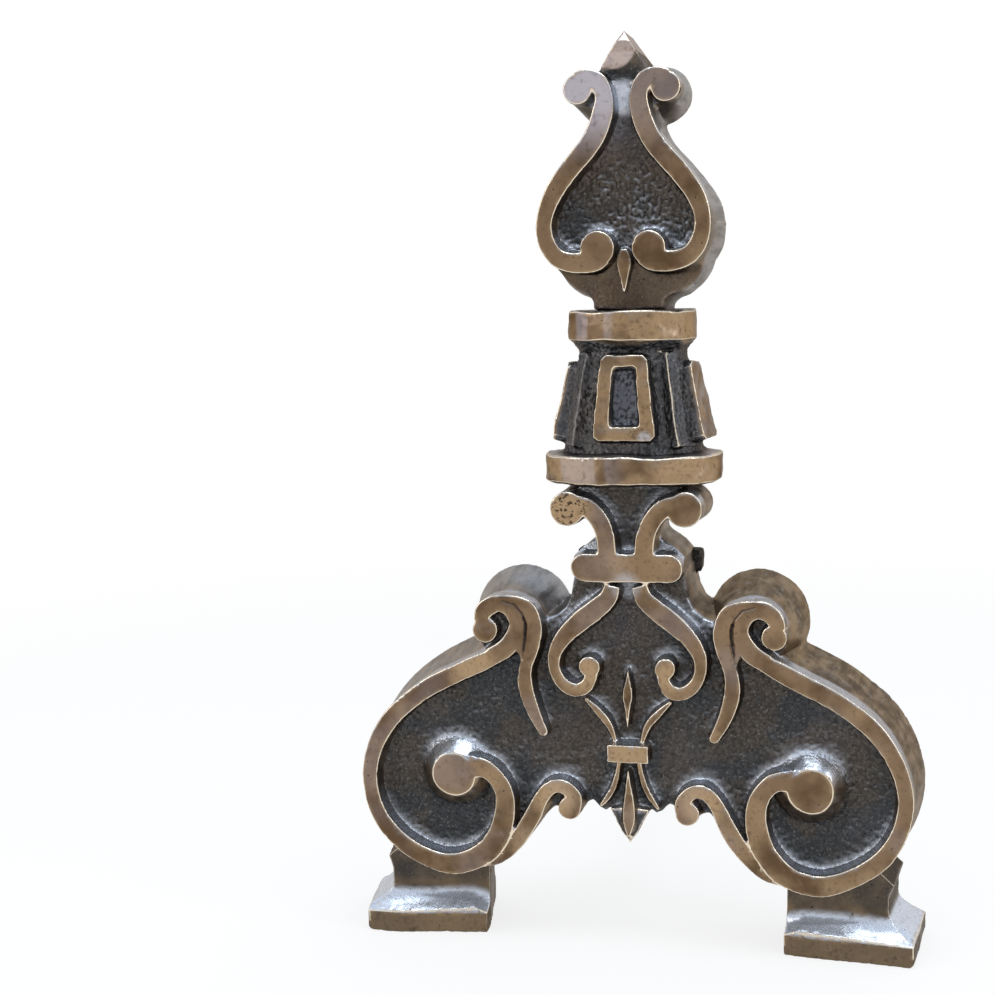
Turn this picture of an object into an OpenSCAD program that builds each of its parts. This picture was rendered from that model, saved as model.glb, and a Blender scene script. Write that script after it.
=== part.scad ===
// Bronze scroll andiron with a forged iron billet bar.
// Front casting on two feet, drum and finial drawn down by one tie rod,
// and an iron strap, log bar and rear leg behind.
// X to the right, Y away from the hearth opening towards the fire, Z up.
// The origin is on the floor, in the middle of the footprint.

/* [Base casting] */
// Width over the two big scrolls; the whole scroll drawing follows it
base_w = 245; // [215:1:275]
// Depth of the base casting, front to back
base_d = 42; // [42:1:50]
// How far its outer walls lean out on their way back from the ground
base_draft = 4.5; // [2:0.5:6]
// Radius of a volute roll at the back
volute_back_r = 22.5; // [17:0.5:23]
// Depth of the sunk ground behind the face of the straps
relief = 8.5; // [6:0.5:10]
// Depth of the chased line between the two straps of a volute
chase_d = 1.3; // [1:0.1:3]

/* [Feet] */
// Height from the floor to the underside of a scroll
foot_h = 29; // [25:0.5:34]
// Width of a plinth
plinth_w = 56; // [50:1:62]
// Depth of a plinth
plinth_d = 48; // [45:1:54]
// Height of the plain edge of a plinth
plinth_h = 9.5; // [7:0.5:11]
// Angle by which a foot is turned outwards at its back
foot_splay = 6; // [0:1:8]
// Radius of the hollow at the front and back of a neck
cove_r = 8; // [6:0.5:10]
// Radius of the hollow at the outer side of a neck
side_cove_r = 11.3; // [8:0.1:12]

/* [Drum casting] */
// Height from seat to seat
drum_h = 76; // [70:1:86]
// Width of the lower ring
lower_ring_w = 78; // [72:1:84]
// Depth of the lower ring
lower_ring_d = 59; // [54:1:64]
// Height of the lower ring
lower_ring_h = 13.5; // [11:0.5:15]
// Width of the upper ring
upper_ring_w = 56; // [52:1:62]
// Depth of the upper ring
upper_ring_d = 52; // [48:1:56]
// Height of the upper ring
upper_ring_h = 12.5; // [10:0.5:14]
// Thickness of the panels on the drum
panel_t = 5.5; // [4:0.5:7]
// Width of the plain border round the window
border_w = 5.4; // [4:0.2:6]
// Width of a corner post
post_w = 6.5; // [5:0.5:8]

/* [Finial casting] */
// Width over the bulb; the whole finial drawing follows it
finial_w = 75; // [66:1:84]
// Depth of the finial casting, front to back
finial_d = 42; // [40:1:50]
// How far its side walls lean out on their way back from the ground
finial_draft = 2; // [1:0.5:4]
// Length of a hook, front to back
hook_l = 38; // [30:1:40]

/* [Tie rod and dowels] */
// From the back of the base forward to the rod, which the drum and finial share
rod_from_back = 17; // [16:0.5:18]
// Diameter of the tie rod
rod_d = 12; // [10:0.5:13]
// Reach of the rod into the finial
rod_grip = 46; // [36:1:60]
// Width across the flats of its nut
nut_af = 18; // [16:0.5:19]
// Height of its nut
nut_h = 9; // [7:0.5:10]
// Diameter of its washer
washer_d = 23; // [20.5:0.5:24]
// Thickness of its washer
washer_t = 2.5; // [1.5:0.5:3]
// Diameter of every locating dowel
dowel_d = 6; // [4:0.5:8]
// Length of every locating dowel
dowel_l = 16; // [12:1:20]

/* [Foot screws] */
// Diameter of a foot screw
foot_screw_d = 10; // [8:0.5:12]
// Length under its head
foot_screw_l = 42; // [34:1:50]
// Diameter of its head
foot_screw_head_d = 17; // [15:0.5:19]
// Height of its head
foot_screw_head_h = 6; // [4:0.5:7]
// Thickness of its washer
foot_washer_t = 1.5; // [1:0.5:2.5]

/* [Ironwork] */
// Length of the head of the strap, behind the collar
head_l = 57; // [52:1:62]
// Height of that head
head_h = 10; // [9:0.5:12]
// How far that head is let into the back of the neck
head_let_in = 6; // [4:0.5:8]
// Width of the upright leg of the strap
strap_w = 26; // [22:1:32]
// Thickness of the upright leg
strap_t = 6; // [4:0.5:9]
// Diameter of a strap screw
strap_screw_d = 8; // [6:0.5:10]
// Reach of a strap screw into the bronze
strap_screw_grip = 9; // [7:0.5:9]
// Thickness of its washer
strap_washer_t = 1.5; // [1:0.5:2.5]
// Width of the billet bar
bar_w = 18; // [14:1:22]
// Height of the billet bar
bar_h = 20; // [16:1:22]
// Clear length of the billet bar between strap and rear leg
bar_l = 285; // [240:5:320]
// Diameter of the threaded ends of the billet bar
spigot_d = 12; // [9:0.5:13]
// Reach of the front end into the bronze
spigot_grip = 8.5; // [6:0.5:9]
// Thickness of the rear leg
leg_t = 10; // [7:0.5:14]
// Width over the two toes of the rear leg
toe_w = 50; // [42:1:60]
// Width across the flats of the rear nut
rear_nut_af = 19; // [17:0.5:21]
// Height of the rear nut
rear_nut_h = 10; // [8:0.5:12]
// Thickness of the rear washer
rear_washer_t = 2; // [1.5:0.5:3]

/* [Fits] */
// Radial room round a screw, rod or dowel in the hole that grips it
grip_gap = 0.1; // [0.05:0.05:0.2]
// Radial room round a screw or rod in a plain hole
free_gap = 0.5; // [0.3:0.1:1]
// Room on each side of the strap head in its slot
slot_gap = 0.2; // [0.1:0.05:0.4]

/* [Hidden] */

bronze = "#8a6d4c";
dark_bronze = "#5d5140";
iron = "#2e2d2c";
steel = "#6f6e6b";

eps = 0.01;
strap_root = 3;   // the straps and rolls reach this far into the ground behind them
root_step = 0.3;  // and stand out this far where they do, so that their walls cross cleanly
curve_n = 4;      // steps of a strap between two of its points
arc_n = 8;        // steps of a quarter round
round_fn = 48;

// The scroll drawing is kept at its own size and scaled to base_w.
// Its heights start at the underside of the scrolls.
drawn_base_w = 245;
k = base_w / drawn_base_w;
drawn_finial_w = 75;
kf = finial_w / drawn_finial_w;

seat_z = foot_h + 177.5 * k;       // top of the calyx, where the drum sits
drum_top_z = seat_z + drum_h;      // where the finial sits
arch_z = foot_h + 32.5 * k;        // underside of the casting between the scrolls

axis_y = base_d - rod_from_back;   // middle of the tie rod, from the face of the straps

// Counterbore for the nut, sunk up into the underside of the arch
nut_room_r = washer_d / 2 + 1;
nut_room_top = arch_z + nut_h + washer_t + 2.5;
pendant_back = axis_y - nut_room_r - 0.5;

// Feet
foot_out = base_w / 2 + 2.8 * k;           // outer side of a plinth
foot_in = foot_out - plinth_w;             // inner side
plinth_front = relief / 2;
neck_top = foot_h + 10.5 * k;
lip_z = foot_h + 4.5 * k;                  // lip of the ledge outside a scroll
foot_hole_x = foot_out - 37 * k;
foot_dowel_x = foot_hole_x + 14 * k;
foot_recess = 1;                           // from the floor to the head of a foot screw
foot_head_z = foot_recess + foot_screw_head_h;
foot_seat_z = foot_head_z + foot_washer_t; // where the washer bears on the foot

// Ironwork heights and places, measured from the back face of the casting
head_z = foot_h + 140.5 * k;
screw_z = [foot_h + 121 * k, foot_h + 90 * k];
bar_z = foot_h + 56 * k;
strap_foot_z = bar_z - bar_h / 2 - 6;
back_y = base_d;
bar_y = back_y + strap_t;
leg_y = bar_y + bar_l;
rear_y = leg_y + leg_t;
stud_end = rear_y + rear_washer_t + rear_nut_h + 2;

// The footprint runs from the front of the lower ring to the rear stud
front_edge = axis_y - lower_ring_d / 2;
mid_y = (front_edge + stud_end) / 2;

// ---- strap drawings: [x, height, width] along the middle of each strap ----

c_scroll = [[59, 102, 7], [67, 98, 8.4], [76, 93.5, 8.5], [92, 85.3, 8.3], [106, 74, 8],
  [115, 60.5, 7.5], [119, 45, 7], [116.8, 30.5, 7.3], [109.5, 18.5, 8],
  [98, 9.8, 8.5], [84, 5, 9.4], [70, 8, 10], [60, 18, 10], [55.8, 31, 9.4],
  [57.2, 42, 8.6], [63.5, 49.6, 8.4], [72, 51, 10]];
boss = [79.3, 46.8];
boss_r = 9.8;
boss_foot_r = 16.5;

tail_strap = [[38, 68, 4.4], [42.6, 78, 6.2], [45.7, 88.5, 6.9], [45.4, 97, 6.2],
  [42.2, 106, 6.2], [40.8, 115, 6.4], [43.8, 123.5, 6.4], [50.5, 126.6, 5], [57.5, 126.8, 4.6]];
roll_strap = [[61, 101.5, 8], [53.3, 106.5, 8.4], [49.2, 115, 7], [51.8, 122.3, 7],
  [57.8, 125.3, 8], [63.8, 122, 8], [66.2, 116.5, 5]];
eye = [63.7, 113.3];
eye_r = 5.6;
// The web between the two straps of a volute, sunk by the chased line
chase_strap = [[46.8, 97, 1], [46.8, 105.5, 4.4], [44.8, 115, 3.6], [47.8, 123.5, 3.6], [54.5, 126.6, 3.6]];

small_curl = [[66, 4.5, 1], [59.2, 7.6, 3.4], [51.5, 16.2, 6.8], [43.9, 28.2, 7.6], [39.5, 37.3, 6.6],
  [34.3, 43.2, 6.4], [28.3, 43.4, 6.4], [23.8, 39, 6.4], [23.6, 34, 5]];
small_eye = [26.3, 33.8];
small_eye_r = 5.2;

lyre_strap = [[5.8, 134.5, 6.8], [7.8, 129, 8], [13.3, 123.8, 9], [20.6, 118.3, 9],
  [27.3, 112, 7.8], [31.8, 104.3, 6.2], [32.2, 96.8, 5.2], [28.8, 90.3, 5.6],
  [23, 87.4, 6], [17.9, 89.6, 6], [15.4, 95.3, 4.8]];
lyre_eye = [16.7, 98.3];
lyre_eye_r = 4.7;

calyx_strap = [[8, 143, 8.3], [8.2, 149, 8.3], [8.9, 156, 8.3], [11.7, 163, 8.3],
  [16.8, 168.7, 8.2], [23, 171.3, 6]];
calyx_eye = [25.7, 168];
calyx_eye_r = 7.7;
calyx_back_r = 8.3;
calyx_roll_l = 35;                 // the calyx rolls stop short of the back

v_ridge = [[19.3, 83.5, 1.4], [12.7, 77, 3.4], [8.2, 71, 3], [6, 64, 1.6]];
petal_ridge = [[4.3, 56, 1.8], [5.3, 50, 2.2], [7, 44, 2.5], [10, 38.5, 2.4], [13.2, 34.6, 1.4]];
spear = [[0, 97, 0.5], [0, 91, 2.6], [0, 85.5, 4.6], [0, 79, 2.4], [0, 71, 0.5]];
leaf = [[0, 52, 0.5], [0, 44, 2.8], [0, 34, 5.4], [0, 28, 5], [0, 21.5, 0.8]];

collar_half = 24.5;
collar_low = 136;
collar_high = 148.5;
tie_band = [9, 56, 63.5];          // half width, underside and top

// Half outline of the ground between the scrolls, from the arch up to the collar
middle_ground = [[0, 33], [9, 33.3], [11.3, 31], [14.2, 32.4], [17.3, 35.8], [21, 34], [26.3, 29.5],
  [31, 31], [35, 32.5], [40.5, 26], [50, 14.5], [58, 8], [66, 5], [72, 60], [61, 98], [46, 117.5],
  [38.5, 117.5], [33, 119.5], [28.5, 123], [26, 128], [24.8, 136], [24.5, 139], [0, 139]];
middle_centre = [0, 85];
// Side of the neck, from behind the collar up to the drum seat
neck_side = [[24.5, 146], [20, 150.5], [14.5, 154], [12.8, 157.5], [14, 163], [18, 169], [22, 173.5]];
pendant = [[0, 18.4], [3.4, 23], [6.2, 28.5], [9, 33.6], [0, 33.6]];
scroll_centre = [78, 46];
scroll_reach = 44.7;               // from there to the outer side
roll_centre = [54.2, 114.3];
roll_r = 15.6;                     // a volute roll just behind its face

// Finial drawing, heights from its own seat
s_strap = [[19.2, 96.2, 8], [14.3, 97.6, 7.6], [9.4, 95.3, 7.4], [7.3, 89.5, 7.8],
  [8.2, 82.5, 8.8], [11.1, 74.5, 9], [15.6, 67.5, 9], [24.3, 57.5, 8.6], [31, 47.5, 7.8],
  [34, 37.5, 7], [32.8, 29, 7.5], [28.2, 22.8, 8], [20.5, 20.4, 8.8], [13, 21, 9.4], [8.8, 23.6, 8.5]];
hook = [18.8, 93];
hook_r = 6.3;
finial_eye = [11, 26.5];
finial_eye_r = 7.4;
finial_side = [[15.6, 3.5], [18, 6], [22.8, 8], [28, 12.3], [31.5, 17.5], [34, 25], [36.6, 32],
  [36.8, 39.5], [34.4, 47.5], [29, 55.5], [21.8, 64], [15.6, 71.5], [12.4, 79], [12, 86]];
finial_shoulder = 9;               // the body is a little narrower than the straps above this point
finial_centre = [0, 38];
finial_reach = 37.5;
hook_back = [12.5, 92.5];          // the hook's lump at the back is wider and nearer the middle
hook_back_r = 12.5;
cap_half = 10;
cap_low = 94;
cap_high = 117.5;
cap_eaves = 102.5;
scoop_r = 13;                      // hollow across the front of the cap
drop = [[0, 26, 3], [0, 21, 6.4], [0, 15, 4], [0, 7.6, 0.8]];

// ---- drawing helpers ----

function held(p, i) = p[max(0, min(len(p) - 1, i))];
function through(a, b, c, d, t) =
  (2 * b + (c - a) * t + (2 * a - 5 * b + 4 * c - d) * t * t + (3 * b - a - 3 * c + d) * t * t * t) / 2;
// A smooth run through the points of a strap, curve_n steps to each stretch
function run(p) = concat(
  [for (i = [0 : len(p) - 2]) for (j = [0 : curve_n - 1])
    through(held(p, i - 1), held(p, i), held(p, i + 1), held(p, i + 2), j / curve_n)],
  [p[len(p) - 1]]);
function along(r, i) = let (a = held(r, i - 1), b = held(r, i + 1), v = [b.x - a.x, b.y - a.y]) v / norm(v);
// One edge of a strap: side is 1 for the left edge and -1 for the right
function edge(r, side) = [for (i = [0 : len(r) - 1]) let (d = along(r, i))
  [r[i].x - side * d.y * r[i].z / 2, r[i].y + side * d.x * r[i].z / 2]];
function back_to_front(p) = [for (i = [len(p) - 1 : -1 : 0]) p[i]];
function middle(r) = [for (q = r) [q.x, q.y]];

// A smooth line through plain points
function smooth(p) = middle(run([for (q = p) [q.x, q.y, 0]]));

neck_ground = concat([[0, 125], [24, 125], [24, 138]], smooth(neck_side), [[22, 177.5], [0, 177.5]]);
finial_ground = concat([[0, 0], [15.3, 0]], smooth(finial_side), [[12, 96], [0, 96]]);

// Oval of half width a and half depth b, a little squarer than an ellipse
oval_n = 64;
oval_power = 2 / 2.4;
function bend(v) = sign(v) * pow(abs(v), oval_power);
function oval(a, b) = [for (i = [0 : oval_n - 1]) let (t = 360 * i / oval_n) [a * bend(cos(t)), b * bend(sin(t))]];

// Points of a round stretch of radius r about (cx, cz), between two angles
function round_part(cx, cz, r, from, to) =
  [for (i = [0 : arc_n]) let (t = from + (to - from) * i / arc_n) [cx + r * cos(t), cz + r * sin(t)]];

module strap(p) {
  r = run(p);
  polygon(concat(edge(r, 1), back_to_front(edge(r, -1))));
}

module disc(at, r) translate(at) circle(r, $fn = round_fn);

// Turns a drawing in X and Z into a slab from y0 back to y1
module slab(y0, y1) translate([0, y1, 0]) rotate([90, 0, 0]) linear_extrude(y1 - y0) children();

module both_sides() {
  children();
  mirror([1, 0, 0]) children();
}

// The scroll drawing in its place over the feet
module base_slab(y0, y1) slab(y0, y1) translate([0, foot_h]) scale(k) children();
module finial_slab(y0, y1) slab(y0, y1) translate([0, drum_top_z]) scale(kf) children();

// The same, with walls that lean out: at a point reach away from the centre, the drawing
// is drawn in by root_step at the front and spread by draft at the back
module leaning_slab(y0, y1, low_z, size, about, reach, draft) {
  front = 1 - root_step / (reach * size);
  back = 1 + draft / (reach * size);
  translate([about.x * size, y1, low_z + about.y * size]) rotate([90, 0, 0])
    linear_extrude(y1 - y0, scale = front / back) scale(size * back) translate(-about) children();
}

module both_sides_2d() {
  children();
  mirror([1, 0]) children();
}

module placed() translate([0, -mid_y, 0]) children();

// ---- base casting ----

// Every strap and disc that stands on the ground, right half
module base_straps() {
  strap(c_scroll);
  disc(boss, boss_r);
  strap(tail_strap);
  disc([tail_strap[0].x, tail_strap[0].y], tail_strap[0].z / 2);
  strap(roll_strap);
  disc(eye, eye_r);
  strap(small_curl);
  disc(small_eye, small_eye_r);
  strap(lyre_strap);
  disc(lyre_eye, lyre_eye_r);
  strap(calyx_strap);
  disc(calyx_eye, calyx_eye_r);
}

// Outline of one scroll, filled
module scroll_ground() {
  outer = run(c_scroll);
  polygon(middle([for (i = [0 : 13 * curve_n]) outer[i]]));
  strap(c_scroll);
}

module scroll_block() leaning_slab(relief, base_d, foot_h, k, scroll_centre, scroll_reach, base_draft)
  scroll_ground();

module middle_block() leaning_slab(relief, base_d, foot_h, k, middle_centre, scroll_reach, base_draft / 2)
  both_sides_2d() {
    polygon(middle_ground);
    strap(small_curl);
    disc(small_eye, small_eye_r);
  }

// A roll that grows towards the back, from the ground behind its face
module cone_roll(at, front_r, back_r, y1) translate([at.x, y1, at.y]) rotate([90, 0, 0])
  cylinder(h = y1 - relief, r1 = back_r, r2 = front_r - root_step, $fn = round_fn);

module volute_roll() cone_roll([roll_centre.x * k, foot_h + roll_centre.y * k], roll_r * k,
  volute_back_r * k, base_d);
module calyx_roll() cone_roll([calyx_eye.x * k, foot_h + calyx_eye.y * k], calyx_eye_r * k,
  calyx_back_r * k, calyx_roll_l);

module collar_bar() {
  end_r = (collar_high - collar_low) / 2;
  reach = collar_half - end_r;
  translate([0, collar_low]) square([reach, 2 * end_r]);
  disc([reach, collar_low + end_r], end_r);
}

module drop_boss() {
  translate([boss.x * k, relief + eps, foot_h + boss.y * k]) rotate([90, 0, 0])
    cylinder(h = relief, r1 = boss_foot_r * k, r2 = boss_r * k, $fn = round_fn);
}

module base_bronze() {
  both_sides() {
    base_slab(0, relief + strap_root) base_straps();
    base_slab(0, relief + strap_root) collar_bar();
    base_slab(chase_d, relief + eps) strap(chase_strap);
    scroll_block();
    volute_roll();
    calyx_roll();
    base_slab(relief * 0.35, relief + eps) strap(v_ridge);
    base_slab(relief * 0.45, relief + eps) strap(petal_ridge);
    base_slab(relief * 0.55, pendant_back) polygon(pendant);
    drop_boss();
  }
  middle_block();
  base_slab(relief, base_d) both_sides_2d() polygon(neck_ground);
  base_slab(relief * 0.2, relief + eps) strap(spear);
  base_slab(relief * 0.15, relief + eps) strap(leaf);
  base_slab(-0.1 * relief, relief + eps) translate([-tie_band[0], tie_band[1]])
    square([2 * tie_band[0], tie_band[2] - tie_band[1]]);
}

module base_casting() color(bronze) placed() difference() {
  base_bronze();
  // the tie rod runs down through the neck to a room for its nut
  translate([0, axis_y, foot_h]) cylinder(h = seat_z, d = rod_d + 2 * free_gap, $fn = round_fn);
  translate([0, axis_y, foot_h]) cylinder(h = nut_room_top - foot_h, r = nut_room_r, $fn = round_fn);
  drum_dowel_places() dowel_hole();
  both_sides() {
    translate([foot_hole_x, axis_y, 0])
      cylinder(h = foot_head_z + foot_screw_l + 2, d = foot_screw_d + 2 * grip_gap, $fn = round_fn);
    translate([foot_dowel_x, axis_y, foot_dowel_z()]) dowel_hole();
  }
  // slot across the back of the neck for the head of the strap
  translate([-head_l / 2 - slot_gap, back_y - head_let_in - slot_gap, head_z - head_h / 2 - slot_gap])
    cube([head_l + 2 * slot_gap, head_let_in + slot_gap + 1, head_h + 2 * slot_gap]);
  for (z = screw_z) back_hole(z, strap_screw_grip + 0.5, strap_screw_d + 2 * grip_gap);
  back_hole(bar_z, spigot_grip + 0.5, spigot_d + 2 * grip_gap);
}

// A blind hole into the back face
module back_hole(z, depth, d) translate([0, back_y + 1, z]) rotate([90, 0, 0])
  cylinder(h = depth + 1, d = d, $fn = round_fn);

// ---- dowels ----

module dowel() translate([0, 0, -dowel_l / 2]) cylinder(h = dowel_l, d = dowel_d, $fn = round_fn);
module dowel_hole() translate([0, 0, -dowel_l / 2 - 0.5])
  cylinder(h = dowel_l + 1, d = dowel_d + 2 * grip_gap, $fn = round_fn);

dowel_reach = 14;                  // from the tie rod to a dowel beside it
module drum_dowel_places() for (s = [-1, 1]) translate([s * dowel_reach, axis_y, seat_z]) children();
finial_dowel_reach = 11;
module finial_dowel_places() for (s = [-1, 1])
  translate([s * finial_dowel_reach, axis_y, drum_top_z]) children();

// ---- feet ----

// Height of the joint over a foot, where its dowel is centred
function foot_dowel_z() = foot_h + 4 * k;

// Outline seen from the front: plumb inside, hollow outside, with a ledge that slopes to its lip
module foot_front() polygon(concat(
  [[foot_in, 0], [foot_out - 1.5, 0], [foot_out, 1.5], [foot_out, plinth_h]],
  round_part(foot_out, plinth_h + side_cove_r, side_cove_r, 270, 180),
  [[foot_out - side_cove_r, lip_z - 6], [foot_out - side_cove_r + 2, lip_z],
    [foot_out - side_cove_r - 5, neck_top], [foot_in, neck_top]]));

// Outline seen from the side: a hollow at the front and at the back
module foot_side() {
  y0 = plinth_front;
  y1 = plinth_front + plinth_d;
  polygon(concat(
    [[y0, 0], [y1, 0], [y1, plinth_h]],
    round_part(y1, plinth_h + cove_r, cove_r, 270, 180),
    [[y1 - cove_r, neck_top], [y0 + cove_r, neck_top]],
    round_part(y0, plinth_h + cove_r, cove_r, 0, -90),
    [[y0, plinth_h]]));
}

// The scroll that a foot is fitted to, carried on past the back of the foot
module foot_saddle() {
  scroll_block();
  base_slab(-1, relief + strap_root) scroll_ground();
  base_slab(relief, base_d) polygon(middle_ground);
}

module foot() difference() {
  translate([foot_hole_x, axis_y, 0]) rotate([0, 0, -foot_splay]) translate([-foot_hole_x, -axis_y, 0])
    intersection() {
      slab(plinth_front, plinth_front + plinth_d) foot_front();
      rotate([90, 0, 90]) linear_extrude(base_w) foot_side();
    }
  foot_saddle();
  translate([foot_hole_x, axis_y, -1]) {
    cylinder(h = foot_seat_z + 1, d = foot_screw_head_d + 2 * free_gap, $fn = round_fn);
    cylinder(h = neck_top + 2, d = foot_screw_d + 2 * free_gap, $fn = round_fn);
  }
  translate([foot_dowel_x, axis_y, foot_dowel_z()]) dowel_hole();
}

module right_foot() color(dark_bronze) placed() foot();
module left_foot() color(dark_bronze) placed() mirror([1, 0, 0]) foot();

// A slotted screw that points up, with the underside of its head at height 0
module screw(d, l, head_d, head_h) {
  slot_w = head_d / 9;
  slot_d = head_h / 3;
  cylinder(h = l, d = d, $fn = round_fn);
  difference() {
    translate([0, 0, -head_h]) cylinder(h = head_h + eps, d = head_d, $fn = round_fn);
    translate([-head_d, -slot_w / 2, -head_h - 1]) cube([2 * head_d, slot_w, slot_d + 1]);
  }
}

module washer(thick, outer, bore) difference() {
  cylinder(h = thick, d = outer, $fn = round_fn);
  translate([0, 0, -1]) cylinder(h = thick + 2, d = bore, $fn = round_fn);
}

module foot_screws() color(steel) placed() both_sides() translate([foot_hole_x, axis_y, foot_head_z])
  screw(foot_screw_d, foot_screw_l, foot_screw_head_d, foot_screw_head_h);

module foot_washers() color(steel) placed() both_sides() translate([foot_hole_x, axis_y, foot_head_z])
  washer(foot_washer_t, foot_screw_head_d, foot_screw_d + 2 * free_gap);

module foot_dowels() color(steel) placed() both_sides()
  translate([foot_dowel_x, axis_y, foot_dowel_z()]) dowel();

// ---- drum casting ----

core_low_a = lower_ring_w / 2 - 8.5;
core_low_b = lower_ring_d / 2 - 6;
core_high_a = upper_ring_w / 2 - 6;
core_high_b = upper_ring_d / 2 - 6;
ring_edge = 0.8;
lower_slope = [3, 1.5];            // slope under the lower ring, in and down
upper_slope = [5, 4.6];            // slope under the upper ring
panel_low = seat_z + lower_ring_h + 6.5;
panel_high = drum_top_z - upper_ring_h - 6.5;
side_panel_high = panel_high - 3.5;
side_turn = 82;                    // the side tiles look a little towards the room

// A ring with a softened upper edge, on a slope that reaches in and down below it
module ring(a, b, z0, z1, slope) translate([0, axis_y, 0]) hull() {
  translate([0, 0, z0 - slope.y]) linear_extrude(eps) polygon(oval(a - slope.x, b - slope.x));
  translate([0, 0, z0]) linear_extrude(z1 - z0 - ring_edge) polygon(oval(a, b));
  translate([0, 0, z1 - eps]) linear_extrude(eps) polygon(oval(a - ring_edge, b - ring_edge));
}

module drum_core() translate([0, axis_y, 0]) hull() {
  translate([0, 0, seat_z + lower_ring_h - eps]) linear_extrude(eps) polygon(oval(core_low_a, core_low_b));
  translate([0, 0, drum_top_z - upper_ring_h]) linear_extrude(eps) polygon(oval(core_high_a, core_high_b));
}

// Half width and half depth of the core at height z
function core_share(z) = (z - seat_z - lower_ring_h) / (drum_h - lower_ring_h - upper_ring_h);
function core_a(z) = core_low_a + (core_high_a - core_low_a) * core_share(z);
function core_b(z) = core_low_b + (core_high_b - core_low_b) * core_share(z);

// A plate that leans with the core: turned by angle about the axis, its face
// out_low and out_high from the axis at its lower and upper edge
module leaning(angle, z0, z1, out_low, out_high, thick) {
  lean = atan((out_low - out_high) / (z1 - z0));
  translate([0, axis_y, z0]) rotate([0, 0, angle]) translate([0, -out_low, 0])
    rotate([90 - lean, 0, 0]) translate([0, 0, -thick]) linear_extrude(thick) children();
}

function slope_len(z0, z1, out_low, out_high) = norm([z1 - z0, out_low - out_high]);

// A tapered panel with clipped corners
function tapered(low, high, h, c) = [[c - low, 0], [low - c, 0], [low, c], [high, h - c], [high - c, h],
  [c - high, h], [-high, h - c], [-low, c]];

panel_low_half = 13.8;
panel_high_half = 10.4;
front_low_out = core_low_b + panel_t - 1.5;
front_high_out = core_high_b + panel_t - 0.5;
side_low_out = core_low_a + panel_t - 0.5;
side_high_out = core_a(side_panel_high) + panel_t - 1;
post_angle = 49;
post_low_out = 33.6;
post_high_out = 25.8;

module window_panel(angle) {
  h = slope_len(panel_low, panel_high, front_low_out, front_high_out);
  leaning(angle, panel_low, panel_high, front_low_out, front_high_out, panel_t + 4) difference() {
    polygon(tapered(panel_low_half, panel_high_half, h, 2.2));
    translate([0, border_w + 1]) polygon(tapered(panel_low_half - border_w - 2, panel_high_half - border_w,
      h - 2 * border_w - 1, 0.8));
  }
}

module side_panel(angle) leaning(angle, panel_low, side_panel_high, side_low_out, side_high_out, panel_t + 4)
  polygon(tapered(panel_low_half - 3, panel_high_half - 1.5,
    slope_len(panel_low, side_panel_high, side_low_out, side_high_out), 2.2));

module corner_post(angle) leaning(angle, panel_low - 2, panel_high + 1, post_low_out, post_high_out, 8)
  translate([-post_w / 2, 0])
    square([post_w, slope_len(panel_low - 2, panel_high + 1, post_low_out, post_high_out)]);

module drum_casting() color(bronze) placed() difference() {
  union() {
    ring(lower_ring_w / 2, lower_ring_d / 2, seat_z + lower_slope.y, seat_z + lower_ring_h, lower_slope);
    drum_core();
    ring(upper_ring_w / 2, upper_ring_d / 2, drum_top_z - upper_ring_h, drum_top_z, upper_slope);
    for (a = [0, 180]) window_panel(a);
    for (a = [side_turn, -side_turn]) side_panel(a);
    for (a = [post_angle, -post_angle, 180 - post_angle, 180 + post_angle]) corner_post(a);
  }
  translate([0, axis_y, seat_z - 1]) cylinder(h = drum_h + 2, d = rod_d + 2 * free_gap, $fn = round_fn);
  drum_dowel_places() dowel_hole();
  finial_dowel_places() dowel_hole();
}

module drum_dowels() color(steel) placed() drum_dowel_places() dowel();

// ---- finial casting ----

module finial_straps() {
  strap(s_strap);
  disc(hook, hook_r);
  disc(finial_eye, finial_eye_r);
}

module finial_block() leaning_slab(relief, finial_d, drum_top_z, kf, finial_centre, finial_reach, finial_draft)
  both_sides_2d() {
    polygon(finial_ground);
    strap([for (i = [finial_shoulder : len(s_strap) - 1]) s_strap[i]]);
  }

module hook_roll() {
  hull() {
    finial_slab(relief, relief + 1) disc(hook, hook_r - root_step / kf);
    finial_slab(hook_l - 1, hook_l) disc(hook_back, hook_back_r);
  }
  finial_slab(relief, hook_l) polygon([[0, 85], [11, 85], [hook.x, hook.y - hook_r * 0.8],
    [hook.x, hook.y + hook_r], [9, 100], [0, 100]]);
}

// Gabled cap: a triangle from the front, crossed with the slope of its back end
module cap() difference() {
  intersection() {
    finial_slab(relief * 0.8, finial_d) polygon([[-cap_half, cap_low], [cap_half, cap_low],
      [cap_half, cap_eaves], [0, cap_high], [-cap_half, cap_eaves]]);
    translate([-finial_w / 2, 0, drum_top_z]) rotate([90, 0, 90]) linear_extrude(finial_w) scale(kf)
      polygon([[0, cap_low], [(finial_d - 1) / kf, cap_low], [(finial_d - 3) / kf, cap_eaves],
        [(finial_d - 8) / kf, cap_high - 2.5], [(finial_d - 13) / kf, cap_high], [relief * 1.1 / kf, cap_high],
        [0, cap_eaves - 2]]);
  }
  translate([-finial_w / 2, -scoop_r * 0.35, drum_top_z + (cap_eaves - 1) * kf]) rotate([0, 90, 0])
    cylinder(h = finial_w, r = scoop_r, $fn = round_fn);
}

module finial_casting() color(bronze) placed() difference() {
  union() {
    both_sides() {
      finial_slab(0, relief + strap_root) finial_straps();
      hook_roll();
    }
    finial_block();
    finial_slab(relief * 0.3, relief + eps) strap(drop);
    cap();
  }
  translate([0, axis_y, drum_top_z - 1])
    cylinder(h = rod_grip + 3, d = rod_d + 2 * grip_gap, $fn = round_fn);
  finial_dowel_places() dowel_hole();
}

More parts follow.
